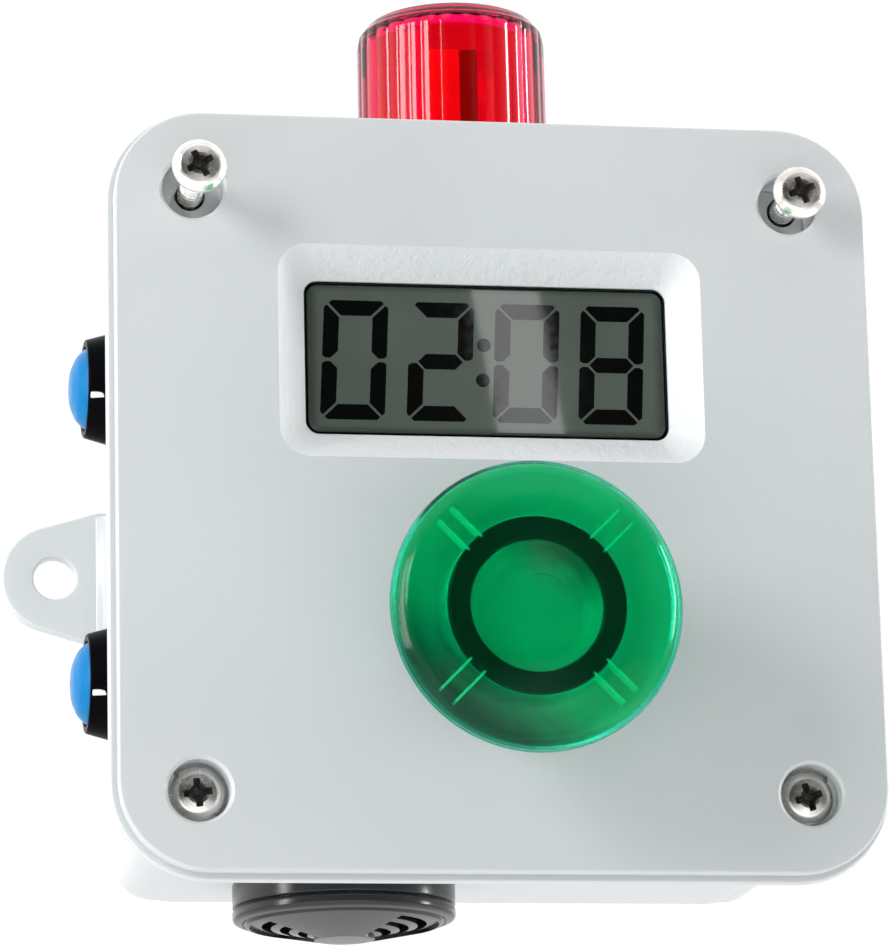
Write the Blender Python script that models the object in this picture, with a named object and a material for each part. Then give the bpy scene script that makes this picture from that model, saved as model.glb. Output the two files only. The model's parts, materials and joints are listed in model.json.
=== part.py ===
"""A wall-mounted countdown timer alarm station for wet places.

A square plastic box with two mounting ears carries a screwed cover with a recessed time
display and an illuminated mushroom push-button. Two small push-buttons stand on its left
side, a beacon on its top and a sounder under it.

Frame: metres, +Z up, +X to the viewer's right, the cover faces -Y. The origin is the
centre of the box's back face, where it meets the wall.
"""

import math

import bmesh
import bpy
from mathutils import Matrix, Vector

MM = 0.001
GAP = 0.3 * MM  # clearance between two pieces that rest on each other

# The box and its cover, measured out from the wall.
DEPTH = 66 * MM  # wall to the cover's face
COVER_HALF = 61 * MM
COVER_CORNER = 14.3 * MM
COVER_LIP = 3.3 * MM  # thickness of the cover's edge
COVER_PAD = 5.2 * MM  # thickness of the cover inside the box's mouth
RIM_HALF = 62.2 * MM
RIM_REAR = DEPTH - 5.5 * MM
BODY_HALF_FRONT = 55.9 * MM
BODY_HALF_REAR = 55.4 * MM
BODY_CORNER = 10 * MM
WALL = 4 * MM
SCREW_PITCH = 48.4 * MM  # half the distance between the cover's screws
MID = 30 * MM  # distance from the wall of everything on the box's sides

# The cover's screws: pan heads, 4.2 mm shanks.
HEAD_R = 4.35 * MM
HEAD_H = 2.6 * MM
SHANK_R = 2.08 * MM
SHANK_L = 25 * MM
SEAT = DEPTH - 4.7 * MM  # the face that a driven screw's head rests on
SCREW_OUT = {"top_left": 15 * MM, "top_right": 10.4 * MM, "bottom_left": 0, "bottom_right": 0}

# The ears that hold the box to the wall.
EAR_HOLE_X = 64.6 * MM
EAR_HOLE_R = 3.55 * MM
EAR_TIP_R = 8.9 * MM
EAR_ROOT_X = 57.3 * MM
EAR_ROOT_HALF = 11.4 * MM
EAR_THICK = 3.2 * MM
EAR_Z = -1.1 * MM

# The display.
DISPLAY_Z = 22.3 * MM
DISPLAY_X = -0.9 * MM
RECESS_HALF = (34.1 * MM, 17.3 * MM)
WINDOW_HALF = (29.4 * MM, 12.6 * MM)
WINDOW_REAR = DEPTH - 4.6 * MM
GLASS_HALF = (28.9 * MM, 12.1 * MM)

# The mushroom push-button, measured along its axis from the wall.
MUSHROOM_Z = -24.6 * MM
MUSHROOM_R = 22.6 * MM
MUSHROOM_FRONT = DEPTH + 32.4 * MM
PANEL_HOLE_R = 11.2 * MM

# The side push-buttons, measured along their axes from the box's side.
SIDE_BUTTON_Z = 24.6 * MM
SIDE_FACE = BODY_HALF_REAR + (BODY_HALF_FRONT - BODY_HALF_REAR) * MID / RIM_REAR

# The beacon and the sounder.
BEACON_R = 15.8 * MM
BEACON_TOP = 90.7 * MM
SOUNDER_X = -20.8 * MM
SOUNDER_R = 18 * MM
SOUNDER_TURN = math.radians(17)  # of its slots, from the left-right direction

# Object rotations that lay local +Z along an outward direction.
TO_FRONT = (math.pi / 2, 0, 0)
TO_LEFT = (0, -math.pi / 2, 0)
TO_DOWN = (math.pi, 0, 0)

LOOKS = {
    "grey_pvc": ((0.62, 0.64, 0.65), 0.35, 0, 1),
    "steel": ((0.72, 0.71, 0.68), 0.25, 1, 1),
    "brass": ((0.78, 0.57, 0.24), 0.3, 1, 1),
    "black_plastic": ((0.02, 0.02, 0.022), 0.35, 0, 1),
    "black_rubber": ((0.03, 0.03, 0.03), 0.7, 0, 1),
    "green_lens": ((0.0, 0.42, 0.15), 0.15, 0, 0.8),
    "red_lens": ((0.75, 0.0, 0.03), 0.1, 0, 0.8),
    "blue_plastic": ((0.05, 0.35, 0.8), 0.3, 0, 1),
    "lcd_glass": ((0.25, 0.28, 0.25), 0.1, 0, 1),
    "white_plastic": ((0.8, 0.8, 0.78), 0.4, 0, 1),
    "circuit_board": ((0.02, 0.2, 0.07), 0.5, 0, 1),
    "battery_wrap": ((0.1, 0.1, 0.12), 0.3, 0, 1),
    "wire_red": ((0.6, 0.02, 0.02), 0.4, 0, 1),
}


def clear_scene():
    for old in list(bpy.data.objects):
        bpy.data.objects.remove(old, do_unlink=True)


def look(name):
    """The named material, made the first time it is asked for."""
    found = bpy.data.materials.get(name)
    if found:
        return found
    colour, roughness, metallic, alpha = LOOKS[name]
    made = bpy.data.materials.new(name)
    made.use_nodes = True
    shader = made.node_tree.nodes["Principled BSDF"]
    shader.inputs["Base Color"].default_value = (*colour, 1)
    shader.inputs["Roughness"].default_value = roughness
    shader.inputs["Metallic"].default_value = metallic
    shader.inputs["Alpha"].default_value = alpha
    made.diffuse_color = (*colour, alpha)
    return made


def finish(name, form, finish_name, at=(0, 0, 0), turn=(0, 0, 0)):
    """An object from a bmesh, smooth where it is round."""
    bmesh.ops.recalc_face_normals(form, faces=form.faces)
    mesh = bpy.data.meshes.new(name)
    form.to_mesh(mesh)
    form.free()
    mesh.shade_smooth()
    mesh.set_sharp_from_angle(angle=math.radians(35))
    mesh.materials.append(look(finish_name))
    made = bpy.data.objects.new(name, mesh)
    made.location = at
    made.rotation_euler = turn
    bpy.context.scene.collection.objects.link(made)
    return made


def tool(made):
    """Marks an object as a helper that only shapes another."""
    made.hide_render = True
    made.display_type = "WIRE"
    return made


def combine(body, helper, operation="DIFFERENCE"):
    """Cuts a helper from an object, or joins it on, with an exact Boolean."""
    tool(helper)
    modifier = body.modifiers.new(helper.name, "BOOLEAN")
    modifier.operation = operation
    modifier.solver = "EXACT"
    modifier.object = helper
    return body


def rounded(half_x, half_y, radius, per_corner=4):
    """The outline of a rounded rectangle, anticlockwise."""
    points = []
    for quarter, (side_x, side_y) in enumerate(((1, 1), (-1, 1), (-1, -1), (1, -1))):
        centre_x = side_x * (half_x - radius)
        centre_y = side_y * (half_y - radius)
        for step in range(per_corner + 1):
            angle = (quarter + step / per_corner) * math.pi / 2
            points.append((centre_x + radius * math.cos(angle), centre_y + radius * math.sin(angle)))
    return points


def stack(layers):
    """A solid through outlines of equal length, each at its own height, capped at both ends."""
    form = bmesh.new()
    loops = [[form.verts.new((x, y, z)) for x, y in outline] for outline, z in layers]
    for lower, upper in zip(loops, loops[1:]):
        for i in range(len(lower)):
            j = (i + 1) % len(lower)
            form.faces.new((lower[i], lower[j], upper[j], upper[i]))
    form.faces.new(reversed(loops[0]))
    form.faces.new(loops[-1])
    return form


def turned(profile, steps, closed=False):
    """A profile of (radius, height) points spun about Z. A closed one makes a ring."""
    form = bmesh.new()
    points = [form.verts.new((radius, 0, height)) for radius, height in profile]
    pairs = list(zip(points, points[1:]))
    if closed:
        pairs.append((points[-1], points[0]))
    edges = [form.edges.new(pair) for pair in pairs]
    bmesh.ops.spin(
        form, geom=points + edges, cent=(0, 0, 0), axis=(0, 0, 1), angle=2 * math.pi, steps=steps
    )
    bmesh.ops.remove_doubles(form, verts=form.verts, dist=1e-6)
    return form


def tube(outer, inner, low, high, steps=20):
    """A plain round sleeve."""
    return turned([(inner, low), (outer, low), (outer, high), (inner, high)], steps, closed=True)


def rod(radius, low, high, steps=20):
    return turned([(0, low), (radius, low), (radius, high), (0, high)], steps)


def plate(half_x, half_y, low, high, corner=0.5 * MM, per_corner=2):
    outline = rounded(half_x, half_y, corner, per_corner)
    return stack([(outline, low), (outline, high)])


def hex_nut(name, across_flats, bore, low, high, finish_name, at, turn):
    """A six-sided nut with a round hole."""
    corner = across_flats / math.sqrt(3)
    outline = [(corner * math.cos(k * math.pi / 3), corner * math.sin(k * math.pi / 3)) for k in range(6)]
    nut = finish(name, stack([(outline, low), (outline, high)]), finish_name, at, turn)
    hole = rod(bore, low - 1 * MM, high + 1 * MM)
    return combine(nut, finish(name + "_hole", hole, finish_name, at, turn))


def coil_spring(name, radius, wire, low, high, turns, at, turn):
    """A round-wire compression spring along local Z, its two ends inside the given heights."""
    curve = bpy.data.curves.new(name, "CURVE")
    curve.dimensions = "3D"
    curve.bevel_depth = wire
    curve.bevel_resolution = 0
    curve.use_fill_caps = True
    per_turn = 10
    count = int(turns * per_turn) + 1
    line = curve.splines.new("POLY")
    line.points.add(count - 1)
    for i in range(count):
        angle = 2 * math.pi * i / per_turn
        height = low + wire + (high - low - 2 * wire) * i / (count - 1)
        line.points[i].co = (radius * math.cos(angle), radius * math.sin(angle), height, 1)
    curve.materials.append(look("steel"))
    made = bpy.data.objects.new(name, curve)
    made.location = at
    made.rotation_euler = turn
    bpy.context.scene.collection.objects.link(made)
    return made


def screw_places():
    """Each cover screw's name and its place across the cover."""
    for vertical, side_z in (("top", 1), ("bottom", -1)):
        for horizontal, side_x in (("left", -1), ("right", 1)):
            yield f"{vertical}_{horizontal}", side_x * SCREW_PITCH, side_z * SCREW_PITCH


def ear_outline(side):
    """A mounting ear seen from the front: a root edge, two slanted edges and a round tip."""
    reach = EAR_HOLE_X - EAR_ROOT_X
    root_distance = math.hypot(reach, EAR_ROOT_HALF)
    touch = math.acos(EAR_TIP_R / root_distance) + math.atan2(EAR_ROOT_HALF, -reach)
    first = touch - 2 * math.acos(EAR_TIP_R / root_distance)
    points = [(EAR_ROOT_X - 6 * MM, -EAR_ROOT_HALF), (EAR_ROOT_X, -EAR_ROOT_HALF)]
    steps = 12
    for step in range(steps + 1):
        angle = -first + 2 * first * step / steps
        points.append((EAR_HOLE_X + EAR_TIP_R * math.cos(angle), EAR_TIP_R * math.sin(angle)))
    points += [(EAR_ROOT_X, EAR_ROOT_HALF), (EAR_ROOT_X - 6 * MM, EAR_ROOT_HALF)]
    return [(side * x, y + EAR_Z) for x, y in points]


def make_box_body():
    """The moulded box: tapered walls, a wider rim, corner posts for the screws and two ears."""
    shell = [
        (rounded(BODY_HALF_REAR - 1.5 * MM, BODY_HALF_REAR - 1.5 * MM, 8.5 * MM), 0),
        (rounded(BODY_HALF_REAR - 0.4 * MM, BODY_HALF_REAR - 0.4 * MM, 9.6 * MM), 0.5 * MM),
        (rounded(BODY_HALF_REAR, BODY_HALF_REAR, BODY_CORNER), 1.6 * MM),
        (rounded(BODY_HALF_FRONT, BODY_HALF_FRONT, BODY_CORNER + 1 * MM), RIM_REAR),
        (rounded(RIM_HALF - 0.3 * MM, RIM_HALF - 0.3 * MM, COVER_CORNER + 0.9 * MM), RIM_REAR),
        (rounded(RIM_HALF, RIM_HALF, COVER_CORNER + 1.2 * MM), RIM_REAR + 0.4 * MM),
        (rounded(RIM_HALF - 0.4 * MM, RIM_HALF - 0.4 * MM, COVER_CORNER + 0.8 * MM),
         DEPTH - COVER_LIP - GAP),
    ]
    box = finish("box_body", stack(shell), "grey_pvc", turn=TO_FRONT)
    for side in (-1, 1):
        outline = ear_outline(side)
        plane = stack([(outline, 0), (outline, EAR_THICK)])
        ear = finish(f"ear_{side}", plane, "grey_pvc", turn=TO_FRONT)
        combine(box, ear, "UNION")
        root = bmesh.new()
        section = ((-4, 0), (3, 0), (3, EAR_THICK / MM), (0.7, 6.4), (-4, 6.4))
        loops = [
            [root.verts.new((side * (SIDE_FACE + x * MM - 1 * MM), y, z * MM)) for x, z in section]
            for y in (EAR_Z - EAR_ROOT_HALF + 0.8 * MM, EAR_Z + EAR_ROOT_HALF - 0.8 * MM)
        ]
        for i in range(len(section)):
            j = (i + 1) % len(section)
            root.faces.new((loops[0][i], loops[0][j], loops[1][j], loops[1][i]))
        for loop in loops:
            root.faces.new(loop)
        combine(box, finish(f"ear_root_{side}", root, "grey_pvc", turn=TO_FRONT), "UNION")
        hole = rod(EAR_HOLE_R, -1 * MM, EAR_THICK + 4 * MM, 16)
        place = (side * EAR_HOLE_X, 0, EAR_Z)
        combine(box, finish(f"ear_hole_{side}", hole, "grey_pvc", place, TO_FRONT))
    front = DEPTH - COVER_LIP
    inner = BODY_HALF_FRONT - WALL
    cavity = stack([
        (rounded(BODY_HALF_REAR - WALL, BODY_HALF_REAR - WALL, 6 * MM), WALL),
        (rounded(inner, inner, 7 * MM), front + 1 * MM),
    ])
    hollow = finish("cavity", cavity, "grey_pvc", turn=TO_FRONT)
    for name, x, z in screw_places():
        post = rod(6.7 * MM, 0, SEAT - 1.7 * MM, 20)
        combine(hollow, finish(f"post_{name}", post, "grey_pvc", (x, 0, z), TO_FRONT))
    combine(box, hollow)
    for name, x, z in screw_places():
        bore = turned([
            (0, SEAT - SHANK_L - 3 * MM), (2.4 * MM, SEAT - SHANK_L - 3 * MM), (2.4 * MM, SEAT - 12 * MM),
            (3.5 * MM, SEAT - 12 * MM), (3.5 * MM, SEAT - 1.7 * MM), (6 * MM, SEAT - 1.7 * MM),
            (6 * MM, front + 1 * MM), (0, front + 1 * MM),
        ], 16)
        combine(box, finish(f"bore_{name}", bore, "grey_pvc", (x, 0, z), TO_FRONT))
    groove = stack_ring(57.1 * MM, 60 * MM, 12.2 * MM, front - 1.6 * MM, front + 1 * MM)
    combine(box, finish("gasket_groove", groove, "grey_pvc", turn=TO_FRONT))
    for side in (-1, 1):
        hole = rod(8.2 * MM, -8 * MM, 4 * MM, 20)
        place = (-SIDE_FACE, -MID, side * SIDE_BUTTON_Z)
        combine(box, finish(f"side_hole_{side}", hole, "grey_pvc", place, TO_LEFT))
    hole = rod(PANEL_HOLE_R, -8 * MM, 4 * MM, 24)
    combine(box, finish("beacon_hole", hole, "grey_pvc", (0, -MID, SIDE_FACE)))
    hole = rod(14.4 * MM, -8 * MM, 4 * MM, 24)
    combine(box, finish("sounder_hole", hole, "grey_pvc", (SOUNDER_X, -MID, -SIDE_FACE), TO_DOWN))


def stack_ring(inner, outer, inner_corner, low, high, per_corner=5):
    """A square ring with rounded corners, as for a gasket or its groove."""
    form = bmesh.new()
    outer_corner = inner_corner + outer - inner
    loops = []
    for half, corner in ((inner, inner_corner), (outer, outer_corner)):
        for z in (low, high):
            loops.append([form.verts.new((x, y, z)) for x, y in rounded(half, half, corner, per_corner)])
    order = (loops[0], loops[1], loops[3], loops[2])
    for first, second in zip(order, order[1:] + order[:1]):
        for i in range(len(first)):
            j = (i + 1) % len(first)
            form.faces.new((first[i], first[j], second[j], second[i]))
    return form


def make_cover():
    """The cover: a rounded plate, a pad that fits the box's mouth, wells, recess and holes."""
    edge = [
        (rounded(COVER_HALF - 0.1 * MM, COVER_HALF - 0.1 * MM, COVER_CORNER - 0.1 * MM),
         DEPTH - COVER_LIP),
        (rounded(COVER_HALF, COVER_HALF, COVER_CORNER), DEPTH - 0.9 * MM),
        (rounded(COVER_HALF - 0.25 * MM, COVER_HALF - 0.25 * MM, COVER_CORNER - 0.25 * MM),
         DEPTH - 0.3 * MM),
        (rounded(COVER_HALF - 0.85 * MM, COVER_HALF - 0.85 * MM, COVER_CORNER - 0.85 * MM), DEPTH),
    ]
    cover = finish("cover", stack(edge), "grey_pvc", turn=TO_FRONT)
    pad = plate(51.8 * MM, 51.8 * MM, DEPTH - COVER_PAD, DEPTH - 1.5 * MM, 6.5 * MM, 5)
    combine(cover, finish("cover_pad", pad, "grey_pvc", turn=TO_FRONT), "UNION")
    for name, x, z in screw_places():
        well = rod(5.7 * MM, SEAT - 1.4 * MM, DEPTH - 1.5 * MM, 20)
        combine(cover, finish(f"well_{name}", well, "grey_pvc", (x, 0, z), TO_FRONT), "UNION")
    for name, x, z in screw_places():
        seat = turned([
            (0, SEAT - 3 * MM), (2.4 * MM, SEAT - 3 * MM), (2.4 * MM, SEAT), (4.9 * MM, SEAT),
            (4.9 * MM, DEPTH - 0.55 * MM), (5.9 * MM, DEPTH + 0.45 * MM), (0, DEPTH + 0.45 * MM),
        ], 20)
        combine(cover, finish(f"seat_{name}", seat, "grey_pvc", (x, 0, z), TO_FRONT))
    window = rounded(*WINDOW_HALF, 2.2 * MM, 5)
    recess = rounded(*RECESS_HALF, 4.8 * MM, 5)
    opening = stack([
        (window, DEPTH - 9 * MM), (window, WINDOW_REAR), (recess, DEPTH), (recess, DEPTH + 1 * MM),
    ])
    combine(cover, finish("display_opening", opening, "grey_pvc", (DISPLAY_X, 0, DISPLAY_Z), TO_FRONT))
    hole = rod(PANEL_HOLE_R, DEPTH - 9 * MM, DEPTH + 1 * MM, 24)
    combine(cover, finish("mushroom_hole", hole, "grey_pvc", (0, 0, MUSHROOM_Z), TO_FRONT))
    mouth = DEPTH - COVER_LIP
    ring = stack_ring(57.4 * MM, 59.7 * MM, 12.5 * MM, mouth - 1.3 * MM, mouth - GAP)
    finish("cover_gasket", ring, "black_rubber", turn=TO_FRONT)


def make_screws():
    """Pan-head screws, each standing as far out as it is unscrewed, and their brass inserts."""
    for name, x, z in screw_places():
        head = turned([
            (0, -SHANK_L), (1.5 * MM, -SHANK_L), (SHANK_R, -SHANK_L + 1 * MM), (SHANK_R, GAP),
            (HEAD_R, GAP), (HEAD_R, 1.2 * MM), (3.6 * MM, 2.1 * MM), (2.1 * MM, HEAD_H), (0, HEAD_H),
        ], 14)
        place = (x, -SEAT - SCREW_OUT[name], z)
        screw = finish(f"cover_screw_{name}", head, "steel", place, TO_FRONT)
        for number, quarter in enumerate((0, math.pi / 2)):
            slot = plate(2.3 * MM, 0.45 * MM, HEAD_H - 1.1 * MM, HEAD_H + 1 * MM, 0.1 * MM, 1)
            bmesh.ops.rotate(slot, verts=slot.verts, matrix=Matrix.Rotation(quarter, 3, "Z"))
            combine(screw, finish(f"slot_{name}_{number}", slot, "steel", place, TO_FRONT))
        insert = tube(3.15 * MM, 2.4 * MM, SEAT - 11.4 * MM, SEAT - 2 * MM, 14)
        finish(f"insert_{name}", insert, "brass", (x, 0, z), TO_FRONT)


def make_display():
    """The time display: a glass cell in a black holder, a reflector, and the timer's board."""
    at = (DISPLAY_X, 0, DISPLAY_Z)
    rear = DEPTH - COVER_PAD
    glass = plate(*GLASS_HALF, rear - 1.4 * MM, WINDOW_REAR - 0.2 * MM, 1.6 * MM, 3)
    finish("display_glass", glass, "lcd_glass", at, TO_FRONT)
    reflector = plate(28.5 * MM, 11.7 * MM, rear - 3.4 * MM, rear - 1.7 * MM, 1 * MM)
    finish("display_reflector", reflector, "white_plastic", at, TO_FRONT)
    holder = finish(
        "display_holder", plate(33 * MM, 16.5 * MM, rear - 3.5 * MM, rear - GAP, 1.5 * MM),
        "black_plastic", at, TO_FRONT)
    pocket = plate(GLASS_HALF[0] + GAP, GLASS_HALF[1] + GAP, rear - 5 * MM, rear + 1 * MM, 1.6 * MM, 3)
    combine(holder, finish("holder_pocket", pocket, "black_plastic", at, TO_FRONT))
    board = finish(
        "timer_board", plate(34 * MM, 17.5 * MM, rear - 5.4 * MM, rear - 3.8 * MM, 1 * MM),
        "circuit_board", at, TO_FRONT)
    places = [(side_x * 31 * MM, side_z * 14.5 * MM) for side_x in (-1, 1) for side_z in (-1, 1)]
    for number, (x, z) in enumerate(places, 1):
        place = (DISPLAY_X + x, 0, DISPLAY_Z + z)
        hole = rod(1.35 * MM, rear - 8 * MM, rear - 0.9 * MM, 8)
        combine(board, finish(f"board_hole_{number}", hole, "steel", place, TO_FRONT))
        hole = rod(1.35 * MM, rear - 8 * MM, rear - 0.9 * MM, 8)
        combine(holder, finish(f"holder_hole_{number}", hole, "steel", place, TO_FRONT))
        screw = turned([
            (0, rear - 7 * MM), (1.6 * MM, rear - 7 * MM), (1.9 * MM, rear - 6.2 * MM),
            (1.9 * MM, rear - 5.7 * MM), (1 * MM, rear - 5.7 * MM), (1 * MM, rear - 1.3 * MM),
            (0, rear - 1.3 * MM),
        ], 8)
        finish(f"board_screw_{number}", screw, "steel", place, TO_FRONT)


def make_mushroom():
    """The illuminated mushroom push-button in the cover, with its nut, spring, lamp and contacts."""
    at = (0, 0, MUSHROOM_Z)
    front = MUSHROOM_FRONT
    head = turned([
        (0, front - 3 * MM), (10.5 * MM, front - 3.2 * MM), (10.5 * MM, front - 18 * MM),
        (13.4 * MM, front - 18 * MM), (13.4 * MM, front - 3.6 * MM), (19.8 * MM, front - 5.4 * MM),
        (19 * MM, front - 12 * MM), (20.6 * MM, front - 12 * MM), (21.7 * MM, front - 8.6 * MM),
        (MUSHROOM_R, front - 6 * MM), (22.3 * MM, front - 4.6 * MM), (21 * MM, front - 3.1 * MM),
        (17 * MM, front - 1.6 * MM), (10 * MM, front - 0.5 * MM), (0, front),
    ], 36)
    cap = finish("mushroom_cap", head, "green_lens", at, TO_FRONT)
    for number in range(4):
        rib = plate(3.6 * MM, 1.3 * MM, front - 9 * MM, front - 3.6 * MM, 0.1 * MM, 1)
        bmesh.ops.translate(rib, verts=rib.verts, vec=(16.6 * MM, 0, 0))
        turn = Matrix.Rotation((number + 0.5) * math.pi / 2, 3, "Z")
        bmesh.ops.rotate(rib, verts=rib.verts, matrix=turn)
        combine(cap, finish(f"cap_rib_{number}", rib, "green_lens", at, TO_FRONT), "UNION")
    plunger = turned([
        (4.6 * MM, DEPTH - 14 * MM), (7.1 * MM, DEPTH - 14 * MM), (7.1 * MM, DEPTH - 4.5 * MM),
        (9 * MM, DEPTH - 4.5 * MM), (9 * MM, DEPTH - 2.5 * MM), (7.1 * MM, DEPTH - 2.5 * MM),
        (7.1 * MM, front - 12 * MM), (10.1 * MM, front - 12 * MM), (10.1 * MM, front - 10 * MM),
        (4.6 * MM, front - 10 * MM),
    ], 20, closed=True)
    finish("mushroom_plunger", plunger, "black_plastic", at, TO_FRONT)
    finish("mushroom_seal", tube(14 * MM, 11.2 * MM, DEPTH + GAP, DEPTH + 1.3 * MM), "black_rubber",
           at, TO_FRONT)
    collar = turned([
        (9.4 * MM, DEPTH - 22 * MM), (10.85 * MM, DEPTH - 22 * MM), (10.85 * MM, DEPTH + 1.6 * MM),
        (14.6 * MM, DEPTH + 1.6 * MM), (14.6 * MM, DEPTH + 4.4 * MM), (13.4 * MM, DEPTH + 5.6 * MM),
        (7.4 * MM, DEPTH + 5.6 * MM), (7.4 * MM, DEPTH - 2.2 * MM), (9.4 * MM, DEPTH - 2.2 * MM),
    ], 28, closed=True)
    finish("mushroom_collar", collar, "black_plastic", at, TO_FRONT)
    nut_top = DEPTH - COVER_PAD - GAP
    nut_low = nut_top - 4 * MM
    hex_nut("mushroom_nut", 26 * MM, 11.15 * MM, nut_low, nut_top, "black_plastic", at, TO_FRONT)
    coil_spring("mushroom_spring", 8.2 * MM, 0.45 * MM, DEPTH - 21.6 * MM, DEPTH - 4.8 * MM, 5, at, TO_FRONT)
    block_top = DEPTH - 22 * MM - GAP
    block = finish(
        "mushroom_contacts", plate(12 * MM, 11 * MM, DEPTH - 44 * MM, block_top, 1 * MM), "black_plastic",
        at, TO_FRONT)
    well = rod(3.4 * MM, block_top - 4 * MM, block_top + 2 * MM, 16)
    combine(block, finish("lamp_well", well, "black_plastic", at, TO_FRONT))
    lamp = turned([
        (0, block_top - 3.7 * MM), (3.1 * MM, block_top - 3.7 * MM), (3.1 * MM, DEPTH + 8 * MM),
        (2.5 * MM, DEPTH + 10.5 * MM), (0, DEPTH + 11.5 * MM),
    ], 12)
    finish("mushroom_lamp", lamp, "white_plastic", at, TO_FRONT)


def make_side_button(name, z):
    """One small push-button on the box's left side, with its seal, nut, spring and switch."""
    at = (-SIDE_FACE, -MID, z)
    bezel = turned([
        (3.4 * MM, -20 * MM), (7.8 * MM, -20 * MM), (7.8 * MM, 1.6 * MM), (9.3 * MM, 1.6 * MM),
        (9.2 * MM, 2.4 * MM), (7.9 * MM, 6.6 * MM), (6.9 * MM, 6.6 * MM), (6.9 * MM, -8 * MM),
        (3.4 * MM, -8 * MM),
    ], 24, closed=True)
    ring = finish(f"{name}_button_bezel", bezel, "black_plastic", at, TO_LEFT)
    notch = plate(3 * MM, 0.6 * MM, 3 * MM, 8 * MM, 0.1 * MM, 1)
    bmesh.ops.rotate(notch, verts=notch.verts, matrix=Matrix.Rotation(math.pi / 2, 3, "Z"))
    bmesh.ops.translate(notch, verts=notch.verts, vec=(-1.2 * MM, -8.4 * MM, 0))
    combine(ring, finish(f"{name}_notch", notch, "black_plastic", at, TO_LEFT))
    finish(f"{name}_button_seal", tube(9 * MM, 8.1 * MM, GAP, 1.3 * MM), "black_rubber", at, TO_LEFT)
    dome = turned([
        (0, -11 * MM), (3 * MM, -11 * MM), (3 * MM, -2 * MM), (6.55 * MM, -2 * MM), (6.55 * MM, 6.7 * MM),
        (6.1 * MM, 7.4 * MM), (4.4 * MM, 8.4 * MM), (2.2 * MM, 9 * MM), (0, 9.2 * MM),
    ], 20)
    finish(f"{name}_button_cap", dome, "blue_plastic", at, TO_LEFT)
    coil_spring(f"{name}_button_spring", 4.9 * MM, 0.35 * MM, -7.7 * MM, -2.3 * MM, 3, at, TO_LEFT)
    nut_top = -WALL - GAP
    hex_nut(f"{name}_button_nut", 19 * MM, 8.1 * MM, nut_top - 3.5 * MM, nut_top, "steel", at, TO_LEFT)
    switch = plate(6 * MM, 6 * MM, -27 * MM, -20.3 * MM, 0.6 * MM)
    finish(f"{name}_button_switch", switch, "black_plastic", at, TO_LEFT)


def make_beacon():
    """The beacon on the box's top: a fluted lens on a base with a lit column inside."""
    at = (0, -MID, 0)
    top = SIDE_FACE
    lens = turned([
        (13.2 * MM, top + 5.8 * MM), (BEACON_R + 0.1 * MM, top + 5.8 * MM),
        (BEACON_R, BEACON_TOP - 5 * MM), (15.2 * MM, BEACON_TOP - 3.2 * MM),
        (13.6 * MM, BEACON_TOP - 1.8 * MM), (8 * MM, BEACON_TOP - 0.4 * MM),
        (0, BEACON_TOP), (0, BEACON_TOP - 2 * MM), (11.6 * MM, BEACON_TOP - 3.6 * MM),
        (13.4 * MM, BEACON_TOP - 5.4 * MM),
    ], 32, closed=True)
    finish("beacon_lens", lens, "red_lens", at)
    finish("beacon_seal", tube(15.4 * MM, 11.2 * MM, top + GAP, top + 1.2 * MM), "black_rubber", at)
    base = turned([
        (9.2 * MM, top - 16 * MM), (10.85 * MM, top - 16 * MM), (10.85 * MM, top + 1.5 * MM),
        (16.6 * MM, top + 1.5 * MM), (16.6 * MM, top + 5.5 * MM), (12.8 * MM, top + 5.5 * MM),
        (12.8 * MM, top + 9 * MM), (9.2 * MM, top + 9 * MM),
    ], 28, closed=True)
    finish("beacon_base", base, "black_plastic", at)
    nut_top = top - WALL - GAP
    hex_nut("beacon_nut", 26 * MM, 11.15 * MM, nut_top - 4 * MM, nut_top, "black_plastic", at, (0, 0, 0))
    column = plate(4.4 * MM, 4.4 * MM, top - 8 * MM, BEACON_TOP - 6.5 * MM, 0.3 * MM, 1)
    finish("beacon_lamp", column, "white_plastic", at)


def make_sounder():
    """The sounder under the box: a slotted cup with a vibrating disc, a gasket, nut and rear plug."""
    at = (SOUNDER_X, -MID, -SIDE_FACE)
    cup = turned([
        (13 * MM, -16 * MM), (14 * MM, -16 * MM), (14 * MM, 1.3 * MM), (18 * MM, 1.3 * MM),
        (17.9 * MM, 5.2 * MM), (17.2 * MM, 5.5 * MM), (17.7 * MM, 5.9 * MM), (SOUNDER_R, 6.6 * MM),
        (17.6 * MM, 7.4 * MM), (16.6 * MM, 7.8 * MM), (15.8 * MM, 8.1 * MM), (4.4 * MM, 10.5 * MM),
        (0, 10.6 * MM), (0, 8.4 * MM), (13 * MM, 6.2 * MM),
    ], 32, closed=True)
    housing = finish("sounder_housing", cup, "black_plastic", at, TO_DOWN)
    for side in (0, math.pi):
        for inner in (6, 8.8, 11.6):
            slot = arc_slot(inner * MM, (inner + 1.4) * MM, math.radians(40), 5 * MM, 13 * MM)
            bmesh.ops.rotate(slot, verts=slot.verts, matrix=Matrix.Rotation(side + SOUNDER_TURN, 3, "Z"))
            number = f"{round(side)}_{round(inner)}"
            combine(housing, finish(f"slot_{number}", slot, "black_plastic", at, TO_DOWN))
    finish("sounder_seal", tube(17.4 * MM, 14.3 * MM, GAP, 1 * MM), "black_rubber", at, TO_DOWN)
    nut_top = -WALL - GAP
    hex_nut("sounder_nut", 33 * MM, 14.3 * MM, nut_top - 4 * MM, nut_top, "black_plastic", at, TO_DOWN)
    finish("sounder_disc", rod(12 * MM, 4 * MM, 4.5 * MM), "brass", at, TO_DOWN)
    finish("sounder_plug", rod(12 * MM, -16 * MM, -12 * MM), "black_plastic", at, TO_DOWN)


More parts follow.
